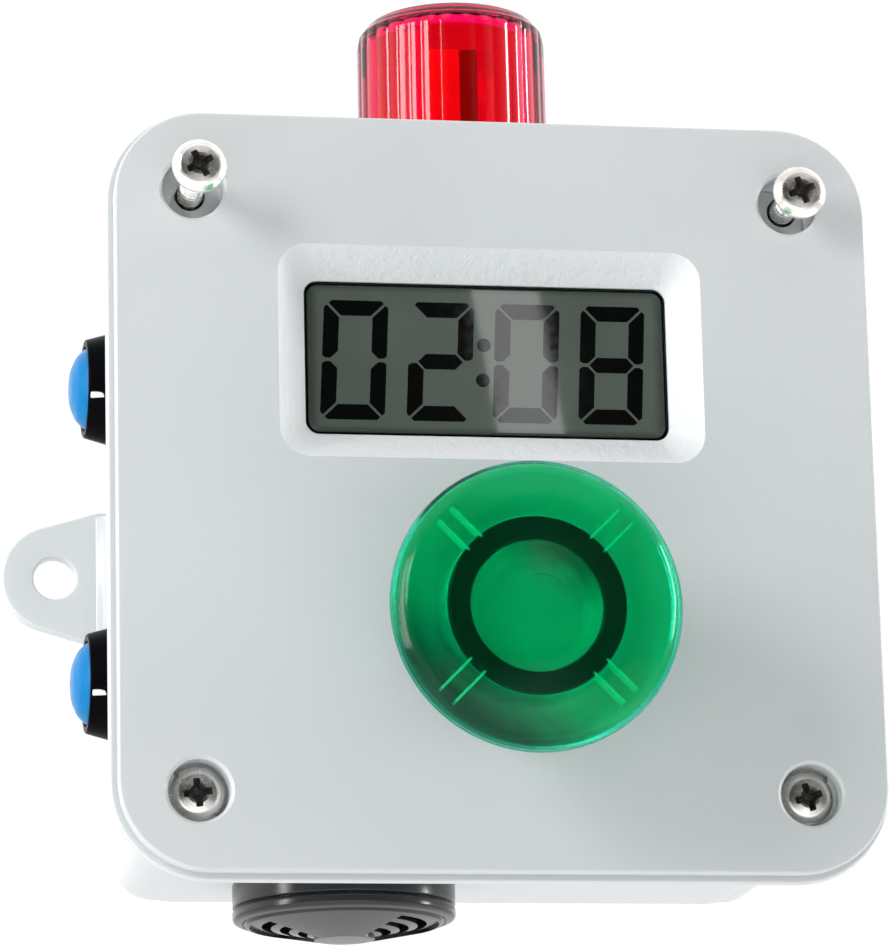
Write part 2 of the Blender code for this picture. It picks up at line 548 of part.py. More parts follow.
def arc_slot(inner, outer, half_angle, low, high):
    """A slot that follows an arc, centred on local +X."""
    steps = 4
    angles = [half_angle * (2 * step / steps - 1) for step in range(steps + 1)]
    outline = [(outer * math.cos(a), outer * math.sin(a)) for a in angles]
    outline += [(inner * math.cos(a), inner * math.sin(a)) for a in reversed(angles)]
    return stack([(outline, low), (outline, high)])


def make_battery():
    """Four round cells side by side in a tray on the box's rear wall."""
    at = (15 * MM, 0, 4 * MM)
    rear = WALL + GAP
    block = plate(31 * MM, 29 * MM, rear, rear + 12 * MM, 1 * MM)
    tray = finish("battery_holder", block, "black_plastic",
                  at, TO_FRONT)
    for number in range(4):
        x = (number - 1.5) * 15 * MM
        channel = rod(7.3 * MM, -25.6 * MM, 25.6 * MM, 14)
        place = (at[0] + x, -rear - 8.6 * MM, at[2])
        combine(tray, finish(f"channel_{number}", channel, "black_plastic", place))
        slot = plate(7.3 * MM, 25.6 * MM, rear + 8.6 * MM, rear + 14 * MM, 0.1 * MM, 1)
        mouth = finish(f"channel_mouth_{number}", slot, "black_plastic", (at[0] + x, 0, at[2]), TO_FRONT)
        combine(tray, mouth)
        cell = turned([
            (0, -25 * MM), (6.8 * MM, -25 * MM), (6.8 * MM, 23.6 * MM), (2.7 * MM, 23.6 * MM),
            (2.7 * MM, 24.8 * MM), (0, 24.8 * MM),
        ], 14)
        flip = (math.pi * (number % 2), 0, 0)
        finish(f"battery_cell_{number + 1}", cell, "battery_wrap", place, flip)


def make_lead(name, route):
    """A wire through hand-placed points, drawn as one smooth curve and then as a round tube."""
    per_span = 3
    points = [Vector(point) * MM for point in route]
    padded = [2 * points[0] - points[1]] + points + [2 * points[-1] - points[-2]]
    path = []
    for before, start, end, after in zip(padded, padded[1:], padded[2:], padded[3:]):
        for step in range(per_span):
            t = step / per_span
            path.append(0.5 * (2 * start + (end - before) * t
                               + (2 * before - 5 * start + 4 * end - after) * t ** 2
                               + (3 * start - before - 3 * end + after) * t ** 3))
    path.append(points[-1])
    curve = bpy.data.curves.new(name, "CURVE")
    curve.dimensions = "3D"
    curve.bevel_depth = 0.7 * MM
    curve.bevel_resolution = 0
    curve.use_fill_caps = True
    line = curve.splines.new("POLY")
    line.points.add(len(path) - 1)
    for spot, point in zip(line.points, path):
        spot.co = (*point, 1)
    curve.materials.append(look("wire_red"))
    bpy.context.scene.collection.objects.link(bpy.data.objects.new(name, curve))


def make_leads():
    """Wires from the battery, the lamps, the switches and the sounder to the timer's board."""
    make_lead("battery_lead", [
        (20, -8, 33.5), (20, -9, 38), (22, -24, 43), (25, -42, 40), (26, -50, 36.5), (26, -55, 36)])
    make_lead("beacon_lead", [(0, -30, 47), (0, -30.5, 40), (-3, -36, 33), (-7, -48, 30), (-8, -55, 30)])
    make_lead("sounder_lead", [
        (-20.8, -30, -39.2), (-23, -31, -32), (-25, -38, -8), (-23, -48, 8), (-22, -55, 12)])
    make_lead("mushroom_lead", [
        (12.4, -33, -24.6), (17, -33, -22), (20, -42, -6), (17, -50, 8), (16, -55, 11)])
    make_lead("upper_button_lead", [
        (-28.2, -30, 24.6), (-25, -32, 24.4), (-24, -42, 23), (-25, -50, 22), (-25, -55, 22)])
    make_lead("lower_button_lead", [
        (-28.2, -30, -22), (-25.5, -31, -19), (-26.5, -36, 0), (-27.5, -46, 10), (-27.5, -51, 15),
        (-27.5, -55, 16)])


def main():
    clear_scene()
    make_box_body()
    make_cover()
    make_screws()
    make_display()
    make_mushroom()
    make_side_button("upper", SIDE_BUTTON_Z)
    make_side_button("lower", -SIDE_BUTTON_Z)
    make_beacon()
    make_sounder()
    make_battery()
    make_leads()


main()
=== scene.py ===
# %% [markdown]
# # A countdown timer alarm station
# This is a grey plastic junction box turned into a signalling station: a time display set in
# a sloped recess, a green mushroom push-button, two blue push-buttons, a red beacon and a
# black sounder. The frame loaded here holds the engineering solids. Each visible one gets a
# finer skin below, in the same place and at the same size.

import json
import math

import bmesh
import bpy
import numpy as np
from mathutils import Matrix, Vector


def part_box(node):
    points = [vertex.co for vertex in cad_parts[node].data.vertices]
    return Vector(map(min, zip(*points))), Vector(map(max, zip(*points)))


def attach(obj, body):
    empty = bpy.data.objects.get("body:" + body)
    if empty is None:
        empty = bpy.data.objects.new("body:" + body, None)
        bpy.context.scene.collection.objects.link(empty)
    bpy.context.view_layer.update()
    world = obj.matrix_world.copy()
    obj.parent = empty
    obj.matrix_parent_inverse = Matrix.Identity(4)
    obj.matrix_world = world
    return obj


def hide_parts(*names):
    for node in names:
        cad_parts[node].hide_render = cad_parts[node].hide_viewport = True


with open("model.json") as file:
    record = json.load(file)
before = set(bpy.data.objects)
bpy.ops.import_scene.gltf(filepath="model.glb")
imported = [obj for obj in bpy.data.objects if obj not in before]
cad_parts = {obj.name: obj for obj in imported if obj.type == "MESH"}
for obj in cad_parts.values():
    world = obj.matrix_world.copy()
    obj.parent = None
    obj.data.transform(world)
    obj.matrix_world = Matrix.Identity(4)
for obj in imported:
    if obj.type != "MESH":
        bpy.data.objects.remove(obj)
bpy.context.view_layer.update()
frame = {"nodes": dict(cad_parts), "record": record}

# %% [markdown]
# ## Sizes
# Everything is placed from the frame's own boxes, so the skins can't drift from the solids.
# What remains are small details, such as edge radii, and those are named where they are used.

# %% Read the main places from the frame
MM = 0.001
cover_low, cover_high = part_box("cover")
glass_low, glass_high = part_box("display_glass")
mushroom_low, mushroom_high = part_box("mushroom_cap")
sounder_low, sounder_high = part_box("sounder_housing")
DEPTH = -cover_low.y
COVER_HALF = cover_high.x
MID = -(sounder_low.y + sounder_high.y) / 2  # how far the parts on the sides stand off the wall
SIDE = 55.65 * MM  # half the box's width where those parts are seated
SIDE_MM = SIDE / MM
MUSHROOM_Z = (mushroom_low.z + mushroom_high.z) / 2
DISPLAY_X = (glass_low.x + glass_high.x) / 2
DISPLAY_Z = (glass_low.z + glass_high.z) / 2
SOUNDER_X = (sounder_low.x + sounder_high.x) / 2
print("depth", round(DEPTH / MM, 2), "mm, cover", round(2 * COVER_HALF / MM, 2), "mm across")

# %% [markdown]
# ## The camera
# A long lens, level with nothing: it looks slightly upwards and to the right, from below and
# to the left of the box, with a small roll. Three angles say that more clearly than a matrix.

# %% Set up the camera
YAW, PITCH, ROLL = (math.radians(angle) for angle in (10.05, 13.89, -1.36))
EYE = np.array((-142.7, -822.4, -187.5)) * MM
LENS_MM = 190.9
forward = np.array((math.sin(YAW) * math.cos(PITCH), math.cos(YAW) * math.cos(PITCH), math.sin(PITCH)))
level = np.array((math.cos(YAW), -math.sin(YAW), 0.0))
upright = np.cross(level, forward)
right = math.cos(ROLL) * level + math.sin(ROLL) * upright
above = math.cos(ROLL) * upright - math.sin(ROLL) * level
camera = bpy.data.objects.new("camera", bpy.data.cameras.new("camera"))
camera.data.lens = LENS_MM
camera.data.clip_end = 20
turned = Matrix(np.column_stack((right, above, -forward)).tolist()).to_4x4()
camera.matrix_world = Matrix.Translation(EYE.tolist()) @ turned
bpy.context.scene.collection.objects.link(camera)
bpy.context.scene.camera = camera
print("camera", round(float(np.linalg.norm(EYE)), 3), "m from the box")

# %% [markdown]
# ## From grids to meshes
# Every new skin here is a grid of points: a row for each step along a profile and a column
# for each step round it. The helpers join neighbouring points with quads, weld poles and
# seams, and turn the faces outwards.

# %% Grid helpers
OUTWARD = {
    "front": ((1, 0, 0), (0, 0, 1), (0, -1, 0)),
    "left": ((0, -1, 0), (0, 0, 1), (-1, 0, 0)),
    "down": ((1, 0, 0), (0, -1, 0), (0, 0, -1)),
    "up": ((1, 0, 0), (0, 1, 0), (0, 0, 1)),
}


def facing(points, outward, origin=(0, 0, 0)):
    """Points (across, up, out) laid in the frame so that out runs along the named direction."""
    return points @ np.array(OUTWARD[outward], float) + np.array(origin, float)


def quads_of(points, wrap_rows=False, wrap_columns=True, caps=False):
    """The grid's points as a list, and a quad between each four neighbours, row by row."""
    rows, columns = points.shape[:2]
    i = np.arange(rows if wrap_rows else rows - 1)[:, None]
    j = np.arange(columns if wrap_columns else columns - 1)[None, :]
    below, beside = (i + 1) % rows, (j + 1) % columns
    corners = (i * columns + j, i * columns + beside, below * columns + beside, below * columns + j)
    faces = np.stack(np.broadcast_arrays(*corners), -1).reshape(-1, 4).tolist()
    if caps:
        faces.append(list(range(columns))[::-1])
        faces.append(list(range((rows - 1) * columns, rows * columns)))
    return points.reshape(-1, 3), faces


def mesh_object(name, parts, sharp_degrees=35):
    """One object from several (points, faces) parts, welded, closed and facing outwards."""
    counts = np.cumsum([0] + [len(points) for points, faces in parts])
    points = np.concatenate([points for points, faces in parts])
    faces = [[k + start for k in face] for (_, group), start in zip(parts, counts) for face in group]
    mesh = bpy.data.meshes.new(name)
    mesh.from_pydata(points.tolist(), [], faces)
    form = bmesh.new()
    form.from_mesh(mesh)
    bmesh.ops.remove_doubles(form, verts=form.verts, dist=2e-7)
    bmesh.ops.recalc_face_normals(form, faces=form.faces)
    form.to_mesh(mesh)
    form.free()
    mesh.shade_smooth()
    mesh.set_sharp_from_angle(angle=math.radians(sharp_degrees))
    made = bpy.data.objects.new(name, mesh)
    bpy.context.scene.collection.objects.link(made)
    return made


def apply_modifiers(piece):
    """Bakes the piece's modifiers into its mesh."""
    graph = bpy.context.evaluated_depsgraph_get()
    baked = bpy.data.meshes.new_from_object(piece.evaluated_get(graph))
    piece.modifiers.clear()
    piece.data = baked


def boolean(piece, helpers, operation="DIFFERENCE", sharp_degrees=35):
    """Cuts the helpers from the piece, or joins them on, and removes them from the scene."""
    for helper in helpers:
        step = piece.modifiers.new(helper.name, "BOOLEAN")
        step.operation = operation
        step.solver = "EXACT"
        step.object = helper
    apply_modifiers(piece)
    for helper in helpers:
        bpy.data.objects.remove(helper)
    piece.data.shade_smooth()
    piece.data.set_sharp_from_angle(angle=math.radians(sharp_degrees))
    return piece


def softened(corners, steps=6):
    """A polyline whose corners are arcs. Each corner is (a, b, radius, carried values): the arc
    touches both sides at a distance of radius / tan(half the corner's angle), and is drawn as a
    rational quadratic curve whose middle weight is the sine of that half angle."""
    table = np.array([[*corner[:2], *corner[3:]] for corner in corners], float)
    radii = [corner[2] for corner in corners]
    rows = [table[0]]
    for before, here, after, radius in zip(table, table[1:], table[2:], radii[1:]):
        if radius <= 0:
            rows.append(here)
            continue
        back, ahead = before - here, after - here
        length_back, length_ahead = np.hypot(*back[:2]), np.hypot(*ahead[:2])
        cosine = np.dot(back[:2], ahead[:2]) / (length_back * length_ahead)
        half = math.acos(max(-1.0, min(1.0, cosine))) / 2
        reach = min(radius / math.tan(half), 0.49 * length_back, 0.49 * length_ahead)
        start = here + back * reach / length_back
        end = here + ahead * reach / length_ahead
        t = np.linspace(0, 1, steps + 1)[:, None]
        weight = math.sin(half)
        top = (1 - t) ** 2 * start + 2 * t * (1 - t) * weight * here + t ** 2 * end
        rows.extend(top / ((1 - t) ** 2 + 2 * t * (1 - t) * weight + t ** 2))
    rows.append(table[-1])
    return np.array(rows)


def spun(profile, steps=96):
    """A surface of revolution: each (radius, height) of the profile goes round a full circle."""
    angles = np.linspace(0, 2 * np.pi, steps, endpoint=False)
    radius, height = profile[:, 0][:, None], profile[:, 1][:, None]
    return np.stack((radius * np.cos(angles), radius * np.sin(angles), height + 0 * angles), -1)


def rounded_rings(half_x, half_y, radius, height, per_corner=12):
    """Rounded rectangles stacked along a profile: four quarter circles per row, whose centres
    sit one corner radius inside the half sizes."""
    quarter = np.linspace(0, np.pi / 2, per_corner + 1)
    angles = np.concatenate([quarter + k * np.pi / 2 for k in range(4)])
    side_x = np.repeat((1, -1, -1, 1), per_corner + 1)
    side_y = np.repeat((1, 1, -1, -1), per_corner + 1)
    half_x, half_y, radius, height = (
        np.atleast_1d(np.asarray(v, float))[:, None] for v in (half_x, half_y, radius, height))
    x = side_x * (half_x - radius) + radius * np.cos(angles)
    y = side_y * (half_y - radius) + radius * np.sin(angles)
    return np.stack((x, y, height + 0 * angles), -1)


print("helpers ready; directions:", ", ".join(OUTWARD))

# %% [markdown]
# ## Materials
# All finishes are Principled shaders. Their wear, grain and colour drift come from noise read
# at object coordinates, in metres, so a pattern keeps its real size on every piece.

# %% Material helpers
def finish(name, colour, roughness, metallic=0.0, **sockets):
    """A Principled material with the named sockets set to plain values."""
    made = bpy.data.materials.new(name)
    made.use_nodes = True
    shader = made.node_tree.nodes["Principled BSDF"]
    shader.inputs["Base Color"].default_value = (*colour, 1)
    shader.inputs["Roughness"].default_value = roughness
    shader.inputs["Metallic"].default_value = metallic
    for socket, value in sockets.items():
        shader.inputs[socket.replace("_", " ").title().replace("Ior", "IOR")].default_value = value
    return made


def node(made, kind, **settings):
    """A new node in the material or the world, with its settings filled in."""
    new = made.node_tree.nodes.new(kind)
    for key, value in settings.items():
        setattr(new, key, value)
    return new


def link(made, source, target):
    """Joins a node's output to another's input."""
    made.node_tree.links.new(source, target)


def noise(made, scale, detail=3.0, roughness=0.5, stretch=(1, 1, 1)):
    """Noise at object coordinates: scale is cells per metre, and stretch squeezes it by axis."""
    place = node(made, "ShaderNodeTexCoord")
    mapping = node(made, "ShaderNodeMapping")
    mapping.inputs["Scale"].default_value = stretch
    texture = node(made, "ShaderNodeTexNoise")
    for key, number in (("Scale", scale), ("Detail", detail), ("Roughness", roughness)):
        texture.inputs[key].default_value = number
    link(made, place.outputs["Object"], mapping.inputs["Vector"])
    link(made, mapping.outputs["Vector"], texture.inputs["Vector"])
    return texture.outputs["Fac"]


def remap(made, value, low, high, from_low=0.3, from_high=0.7):
    """The value carried from one range to another."""
    new = node(made, "ShaderNodeMapRange")
    link(made, value, new.inputs["Value"])
    for key, number in (("From Min", from_low), ("From Max", from_high), ("To Min", low), ("To Max", high)):
        new.inputs[key].default_value = number
    return new.outputs["Result"]


def mix_colour(made, factor, first, second):
    """A blend of two colours, each a triple or another node's output."""
    new = node(made, "ShaderNodeMix", data_type="RGBA")
    link(made, factor, new.inputs["Factor"])
    for socket, value in ((new.inputs[6], first), (new.inputs[7], second)):
        if isinstance(value, tuple):
            socket.default_value = (*value, 1)
        else:
            link(made, value, socket)
    return new.outputs[2]


def bump(made, height, strength, distance, under=None):
    """Surface relief from a height, on top of an earlier one if there is one."""
    new = node(made, "ShaderNodeBump")
    new.inputs["Strength"].default_value = strength
    new.inputs["Distance"].default_value = distance
    link(made, height, new.inputs["Height"])
    if under is not None:
        link(made, under, new.inputs["Normal"])
    return new.outputs["Normal"]


def shader_input(made, name):
    """The named input of the material's Principled shader."""
    return made.node_tree.nodes["Principled BSDF"].inputs[name]


def plain(name, colour, roughness, metallic=0.0, grain=900, relief=0.03, drift=0.06, **sockets):
    """A finish with a little colour drift, uneven gloss and fine grain."""
    made = finish(name, colour, roughness, metallic, **sockets)
    darker = tuple(c * (1 - drift) for c in colour)
    lighter = tuple(min(1.0, c * (1 + drift)) for c in colour)
    slow = remap(made, noise(made, grain / 12), 0, 1)
    link(made, mix_colour(made, slow, darker, lighter), shader_input(made, "Base Color"))
    fine = noise(made, grain)
    gloss = remap(made, fine, roughness * 0.85, min(1.0, roughness * 1.2 + 0.02))
    link(made, gloss, shader_input(made, "Roughness"))
    link(made, bump(made, fine, relief, 0.0002), shader_input(made, "Normal"))
    return made


print("material helpers ready")

# %% [markdown]
# ## Floor and light
# The station hangs on a wall in use, and here it hangs in a plain white studio. The floor is a
# large pale sheet well below it. The surroundings are brighter behind and beside the box than
# in front of it, so its sides come out paler than its cover. Soft lights on all sides give the
# glossy pieces something to reflect, and the smallest one, a narrow window far in front, is what
# draws the pale band across the display.

# %% The floor
FLOOR_Z, FLOOR_HALF = -0.45, 6.0
corner = np.array(((-1, -1), (1, -1), (1, 1), (-1, 1)))
sheet = np.column_stack((corner * FLOOR_HALF, np.full(4, FLOOR_Z)))
floor = mesh_object("floor", [(sheet, [[0, 1, 2, 3]])])
floor.data.materials.append(plain("pale_floor", (0.86, 0.86, 0.86), 0.8, grain=40, drift=0.01))
print("floor at", FLOOR_Z, "m")

# %% [markdown]
# The surroundings' brightness grows with the direction's Y, from dark in front of the box to
# bright behind it. The camera itself sees an even white instead.

# %% Surroundings and lights
def soft_light(name, place, size, power, roll=0.0, aim=(0, -0.03, 0)):
    """A rectangular light at a place, turned so that it shines at the aim point, and then rolled
    about its own axis by some degrees."""
    lamp = bpy.data.lights.new(name, "AREA")
    lamp.shape = "RECTANGLE"
    lamp.size, lamp.size_y = size
    lamp.energy = power
    made = bpy.data.objects.new(name, lamp)
    turned = (Vector(aim) - Vector(place)).to_track_quat("-Z", "Y").to_matrix().to_4x4()
    made.matrix_world = Matrix.Translation(place) @ turned @ Matrix.Rotation(math.radians(roll), 4, "Z")
    bpy.context.scene.collection.objects.link(made)


SEEN_BY_CAMERA = 1.05
world = bpy.data.worlds.new("studio")
bpy.context.scene.world = world
world.use_nodes = True
background = world.node_tree.nodes["Background"]
background.inputs["Strength"].default_value = 1.0
axes = node(world, "ShaderNodeSeparateXYZ")
pick = node(world, "ShaderNodeMix")
link(world, node(world, "ShaderNodeTexCoord").outputs["Generated"], axes.inputs[0])
link(world, node(world, "ShaderNodeLightPath").outputs["Is Camera Ray"], pick.inputs["Factor"])
link(world, remap(world, axes.outputs["Y"], 0.04, 1.32, -0.9, 0.25), pick.inputs["A"])
pick.inputs["B"].default_value = SEEN_BY_CAMERA
link(world, pick.outputs["Result"], background.inputs["Color"])
soft_light("key", (-0.88, -0.74, 0.40), (0.36, 0.44), 5.7)
soft_light("overhead", (0.10, -0.62, 0.95), (1.6, 0.7), 2.3)
soft_light("low bounce", (-0.25, -0.75, -0.40), (1.2, 0.35), 1.0)
soft_light("left window", (-0.85, -0.30, 0.14), (0.12, 0.7), 3.2)
soft_light("right window", (1.0, -0.14, 0.25), (0.14, 0.6), 6.2)
soft_light("window glint", (0.151, -0.822, 0.232), (0.021, 0.12), 0.029, roll=9)
bpy.context.scene.view_settings.view_transform = "Standard"
print("studio ready")

# %% [markdown]
# ## Grey PVC
# The box is moulded in light grey PVC: glossy, faintly uneven like orange peel, with fine
# dust-like specks. Noise at three scales gives the drift of tone, the peel and the grain.

# %% Grey PVC
def grey_pvc_finish(name, colour, roughness):
    """Glossy grey plastic with cloudy tone, small darker specks and orange peel."""
    made = finish(name, colour, roughness, specular_ior_level=0.5)
    cloudy = remap(made, noise(made, 14, detail=2), 0, 1)
    drift = mix_colour(made, cloudy, tuple(c * 0.955 for c in colour), tuple(c * 1.03 for c in colour))
    speck = remap(made, noise(made, 3600, detail=1), 0, 1, 0.62, 0.74)
    specked = mix_colour(made, speck, drift, tuple(c * 0.95 for c in colour))
    link(made, specked, shader_input(made, "Base Color"))
    peel = noise(made, 230, detail=2)
    link(made, remap(made, peel, roughness * 0.96, roughness * 1.05), shader_input(made, "Roughness"))
    soft = bump(made, peel, 0.02, 0.0004)
    link(made, bump(made, noise(made, 3200, detail=1), 0.04, 0.0001, soft), shader_input(made, "Normal"))
    return made


GREY = (0.585, 0.612, 0.622)
grey_pvc = grey_pvc_finish("grey_pvc_moulded", GREY, 0.3)
print("grey PVC:", GREY)

# %% [markdown]
# ## The box
# The box is an open moulding: tapered walls 4 mm thick, small rounded edges at the back, and a
# wider rim that carries the gasket. It could be a cube with bevels and an inset, but its
# corner radius changes along its depth, so one profile is carried round a rounded square
# instead. The profile runs from the back, up the outside, over the rim and down the inside.

# %% The box's shell
def shell_rows(corners, steps=6):
    """Softened profile rows (half size, height, corner radius), written in millimetres, each
    laid as one rounded square."""
    rows = softened(corners, steps) * MM
    return rounded_rings(rows[:, 0], rows[:, 0], rows[:, 2], rows[:, 1])


shell_profile = [
    (50, 0, 0, 5.5), (55.4, 0, 1.4, 10), (55.9, 60.5, 0.9, 11), (62.2, 60.5, 0.7, 15.5),
    (61.8, 62.4, 0.35, 15.1), (60, 62.4, 0, 13), (60, 61.1, 0, 13), (57.1, 61.1, 0, 12),
    (57.1, 62.4, 0, 12), (51.9, 62.4, 0.3, 7), (51.4, 4, 2.5, 6), (44, 4, 0, 3),
]
shell_grid = facing(shell_rows(shell_profile), "front")
box_shell = mesh_object("box_shell", [quads_of(shell_grid, caps=True)])
print("box shell", len(box_shell.data.polygons), "faces before its holes")

# %% [markdown]
# The side holes and the corner posts meet the walls along curves that no grid follows, so they
# are cut and joined with exact Booleans: a post in each corner takes a cover screw.

# %% Posts and holes in the box
def lathe(name, profile, outward, origin=(0, 0, 0), steps=64, edge_steps=4):
    """A solid of revolution from (radius, height, edge radius) corners in millimetres, with its
    height laid along the named direction."""
    rows = softened(profile, edge_steps) * MM
    return mesh_object(name, [quads_of(facing(spun(rows, steps), outward, origin))])


SCREWS = ("top_left", "top_right", "bottom_left", "bottom_right")
screw_boxes = {name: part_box("cover_screw_" + name) for name in SCREWS}
screw_places = {name: (box[0] + box[1]) / 2 for name, box in screw_boxes.items()}
posts = [
    lathe("post", [(0, 1, 0), (6.7, 1, 0), (6.7, 59.6, 0.4), (2.4, 59.6, 0), (2.4, 33, 0), (0, 33, 0)],
          "front", (place.x, 0, place.z), 32)
    for place in screw_places.values()
]
boolean(box_shell, posts, "UNION")
hole_profile = [(0, -9, 0), (1, -9, 0), (1, 3, 0), (0, 3, 0)]  # for a hole of radius 1
button_heights = {which: sum(corner.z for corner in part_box(which + "_button_cap")) / 2
                  for which in ("upper", "lower")}
side_holes = [
    *(("left", (-SIDE, -MID, height), 8.2) for height in button_heights.values()),
    ("up", (0, -MID, SIDE), 11.2),
    ("down", (SOUNDER_X, -MID, -SIDE), 14.4),
]
boolean(box_shell, [
    lathe("hole", [(a * radius, b, r) for a, b, r in hole_profile], outward, place, 48)
    for outward, place, radius in side_holes
])
print("box shell", len(box_shell.data.polygons), "faces with posts and holes")

# %% [markdown]
# ## The ears
# Two flat ears at the back hold the box to the wall. Seen from the front each is a round tip
# and two slanted edges that meet the box. A grid runs from the hole's edge out to that
# outline, over the thickness and back, so the hole and the outer edge both keep true, soft
# edges. A wedge-shaped root thickens the join.

# %% The ears
EAR_HOLE_X = 64.6 * MM
EAR_HOLE_R = 3.55 * MM
EAR_TIP_R = 8.9 * MM
EAR_ROOT_X, EAR_ROOT_HALF = 57.3 * MM, 11.4 * MM
EAR_THICK = 3.2 * MM
EAR_Z = {mount["name"]: mount["pos_m"] for mount in frame["record"]["mounts"]}["left_ear"][2]


def ear_reach(angle):
    """Distance from the hole's centre to the ear's outline in each direction: the tip's radius
    ahead, a line tangent to the tip beside it, and straight edges inside the box."""
    distance = math.hypot(EAR_HOLE_X - EAR_ROOT_X, EAR_ROOT_HALF)
    touch = math.atan2(EAR_ROOT_HALF, EAR_ROOT_X - EAR_HOLE_X) - math.acos(EAR_TIP_R / distance)
    turn = np.abs((angle + np.pi) % (2 * np.pi) - np.pi)
    beside = np.where(turn > touch, EAR_TIP_R / np.maximum(np.cos(turn - touch), 1e-3), EAR_TIP_R)
    level = EAR_ROOT_HALF / np.maximum(np.abs(np.sin(turn)), 1e-3)
    inner = (EAR_HOLE_X - 52.5 * MM) / np.maximum(-np.cos(turn), 1e-3)
    return np.minimum(np.minimum(beside, level), inner)


def ear_grid(side, columns=160):
    """Rows up the hole's wall, over the front, down the outline and back: each row is the hole's
    circle or the outline, moved by its place on a quarter circle of the edge's radius."""
    angle = np.linspace(0, 2 * np.pi, columns, endpoint=False)
    reach = ear_reach(angle)
    edge = 0.45 * MM
    bend = np.linspace(0, np.pi / 2, 5)
    rows = []
    for base, sign in ((EAR_HOLE_R, -1), (reach, 1)):
        ring = base + 0 * angle
        front = [(ring - sign * edge * (1 - math.sin(b)), EAR_THICK - edge * (1 - math.cos(b))) for b in bend]
        rear = [(ring - sign * edge * (1 - math.cos(b)), edge * (1 - math.sin(b))) for b in bend]
        rows += (front + rear) if sign > 0 else (front + rear)[::-1]
    radius = np.stack([row[0] for row in rows])
    height = np.stack([row[1] + 0 * angle for row in rows])
    x = side * (EAR_HOLE_X + radius * np.cos(angle))
    return facing(np.stack((x, radius * np.sin(angle), height), -1), "front", (0, 0, EAR_Z))


def root_grid(side):
    """The ear's thickened root: a soft-edged section carried up the wall, shrunk at its ends."""
    section = softened([(-3, 0, 0), (3.2, 0, 0), (3.2, 3.2, 0.8), (1.2, 4.0, 1.5), (0.6, 8.5, 1.0),
                        (-3, 8.5, 0)], 4)
    ends = np.array((-1.0, -0.96, 0.96, 1.0)) * (EAR_ROOT_HALF - 0.6 * MM)
    shrink = np.array((0.75, 1.0, 1.0, 0.75))
    x = side * (SIDE - 0.9 * MM + section[:, 0] * MM * shrink[:, None])
    z = section[:, 1] * MM + 0 * ends[:, None]
    return facing(np.stack((x, ends[:, None] + 0 * x, z), -1), "front", (0, 0, EAR_Z))


ears = []
for side in (-1, 1):
    ears.append(mesh_object("ear", [quads_of(ear_grid(side), wrap_rows=True)]))
    ears.append(mesh_object("root", [quads_of(root_grid(side), caps=True)]))
boolean(box_shell, ears, "UNION", 40)
box_shell.data.materials.append(grey_pvc)
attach(box_shell, "station")
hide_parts("box_body")
print("box with ears", len(box_shell.data.polygons), "faces")

# %% [markdown]
# ## The cover
# The cover is a square plate with generous corners and a fine rounded front edge. It has a
# counterbored well for each screw, a sloped recess for the display and one round hole. The
# plate is a profile carried round a rounded square. The wells and the recess are cut with
# exact Booleans, because their rims must stay crisp on a flat face.

# %% The cover's plate
cover_profile = [
    (46, 60.8, 0, 1), (51.8, 60.8, 0.6, 6.5), (51.8, 62.75, 0.2, 6.5), (60.85, 62.75, 0.4, 14.15),
    (61, 66, 0.95, 14.3), (59.9, 66, 0, 13.2),
]
cover_skin = mesh_object("cover_skin", [quads_of(facing(shell_rows(cover_profile, 7), "front"), caps=True)])
cutters = [
    lathe("well", [(0, 55, 0), (2.45, 55, 0), (2.45, 61.3, 0), (4.9, 61.3, 0.25), (4.9, 65.5, 0.2),
                   (5.45, 66, 0.1), (6.2, 66.35, 0), (0, 66.35, 0)],
          "front", (place.x, 0, place.z), 72)
    for place in screw_places.values()
]
cutters.append(lathe("round_hole", [(0, 55, 0), (11.2, 55, 0), (11.2, 67, 0), (0, 67, 0)], "front",
                     (0, 0, MUSHROOM_Z), 96))
WINDOW, RECESS = (29.4, 12.6, 2.2), (34.2, 17.4, 4.8)
recess_levels = np.array((55.0, 61.3, 61.42, 65.88, 66.0, 66.5))
recess_share = np.array((0, 0, 0.02, 0.975, 1.0, 1.12))
recess_size = [np.array(inner) + recess_share * (outer - inner) for inner, outer in zip(WINDOW, RECESS)]
recess_points = rounded_rings(*(size * MM for size in recess_size), recess_levels * MM, 14)
cutters.append(mesh_object("recess", [
    quads_of(facing(recess_points, "front", (DISPLAY_X, 0, DISPLAY_Z)), caps=True)]))
boolean(cover_skin, cutters)
print("cover", len(cover_skin.data.polygons), "faces after cutting")

# %% [markdown]
# The recess's four slopes show a rougher, brighter surface than the moulded face: the opening
# was milled. They get a second finish, with fine cutter marks, on just those faces.

# %% The cover's finishes
milled = grey_pvc_finish("grey_pvc_milled", (0.72, 0.735, 0.75), 0.42)
marks = bump(milled, noise(milled, 520, 4, 0.7, (1, 1, 0.35)), 0.8, 0.0005)
link(milled, marks, shader_input(milled, "Normal"))
cover_skin.data.materials.append(grey_pvc)
cover_skin.data.materials.append(milled)
centres = np.array([face.center for face in cover_skin.data.polygons])
leans = np.array([face.normal for face in cover_skin.data.polygons])
in_recess = (np.abs(centres[:, 0] - DISPLAY_X) < 35 * MM) & (np.abs(centres[:, 2] - DISPLAY_Z) < 18 * MM)
sloped = (leans[:, 1] < -0.3) & (leans[:, 1] > -0.97)
cover_skin.data.polygons.foreach_set("material_index", (in_recess & sloped).astype(np.int32))
cover_skin.modifiers.new("flat faces stay flat", "WEIGHTED_NORMAL").keep_sharp = True
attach(cover_skin, "station")
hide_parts("cover")
print("milled faces:", int((in_recess & sloped).sum()))

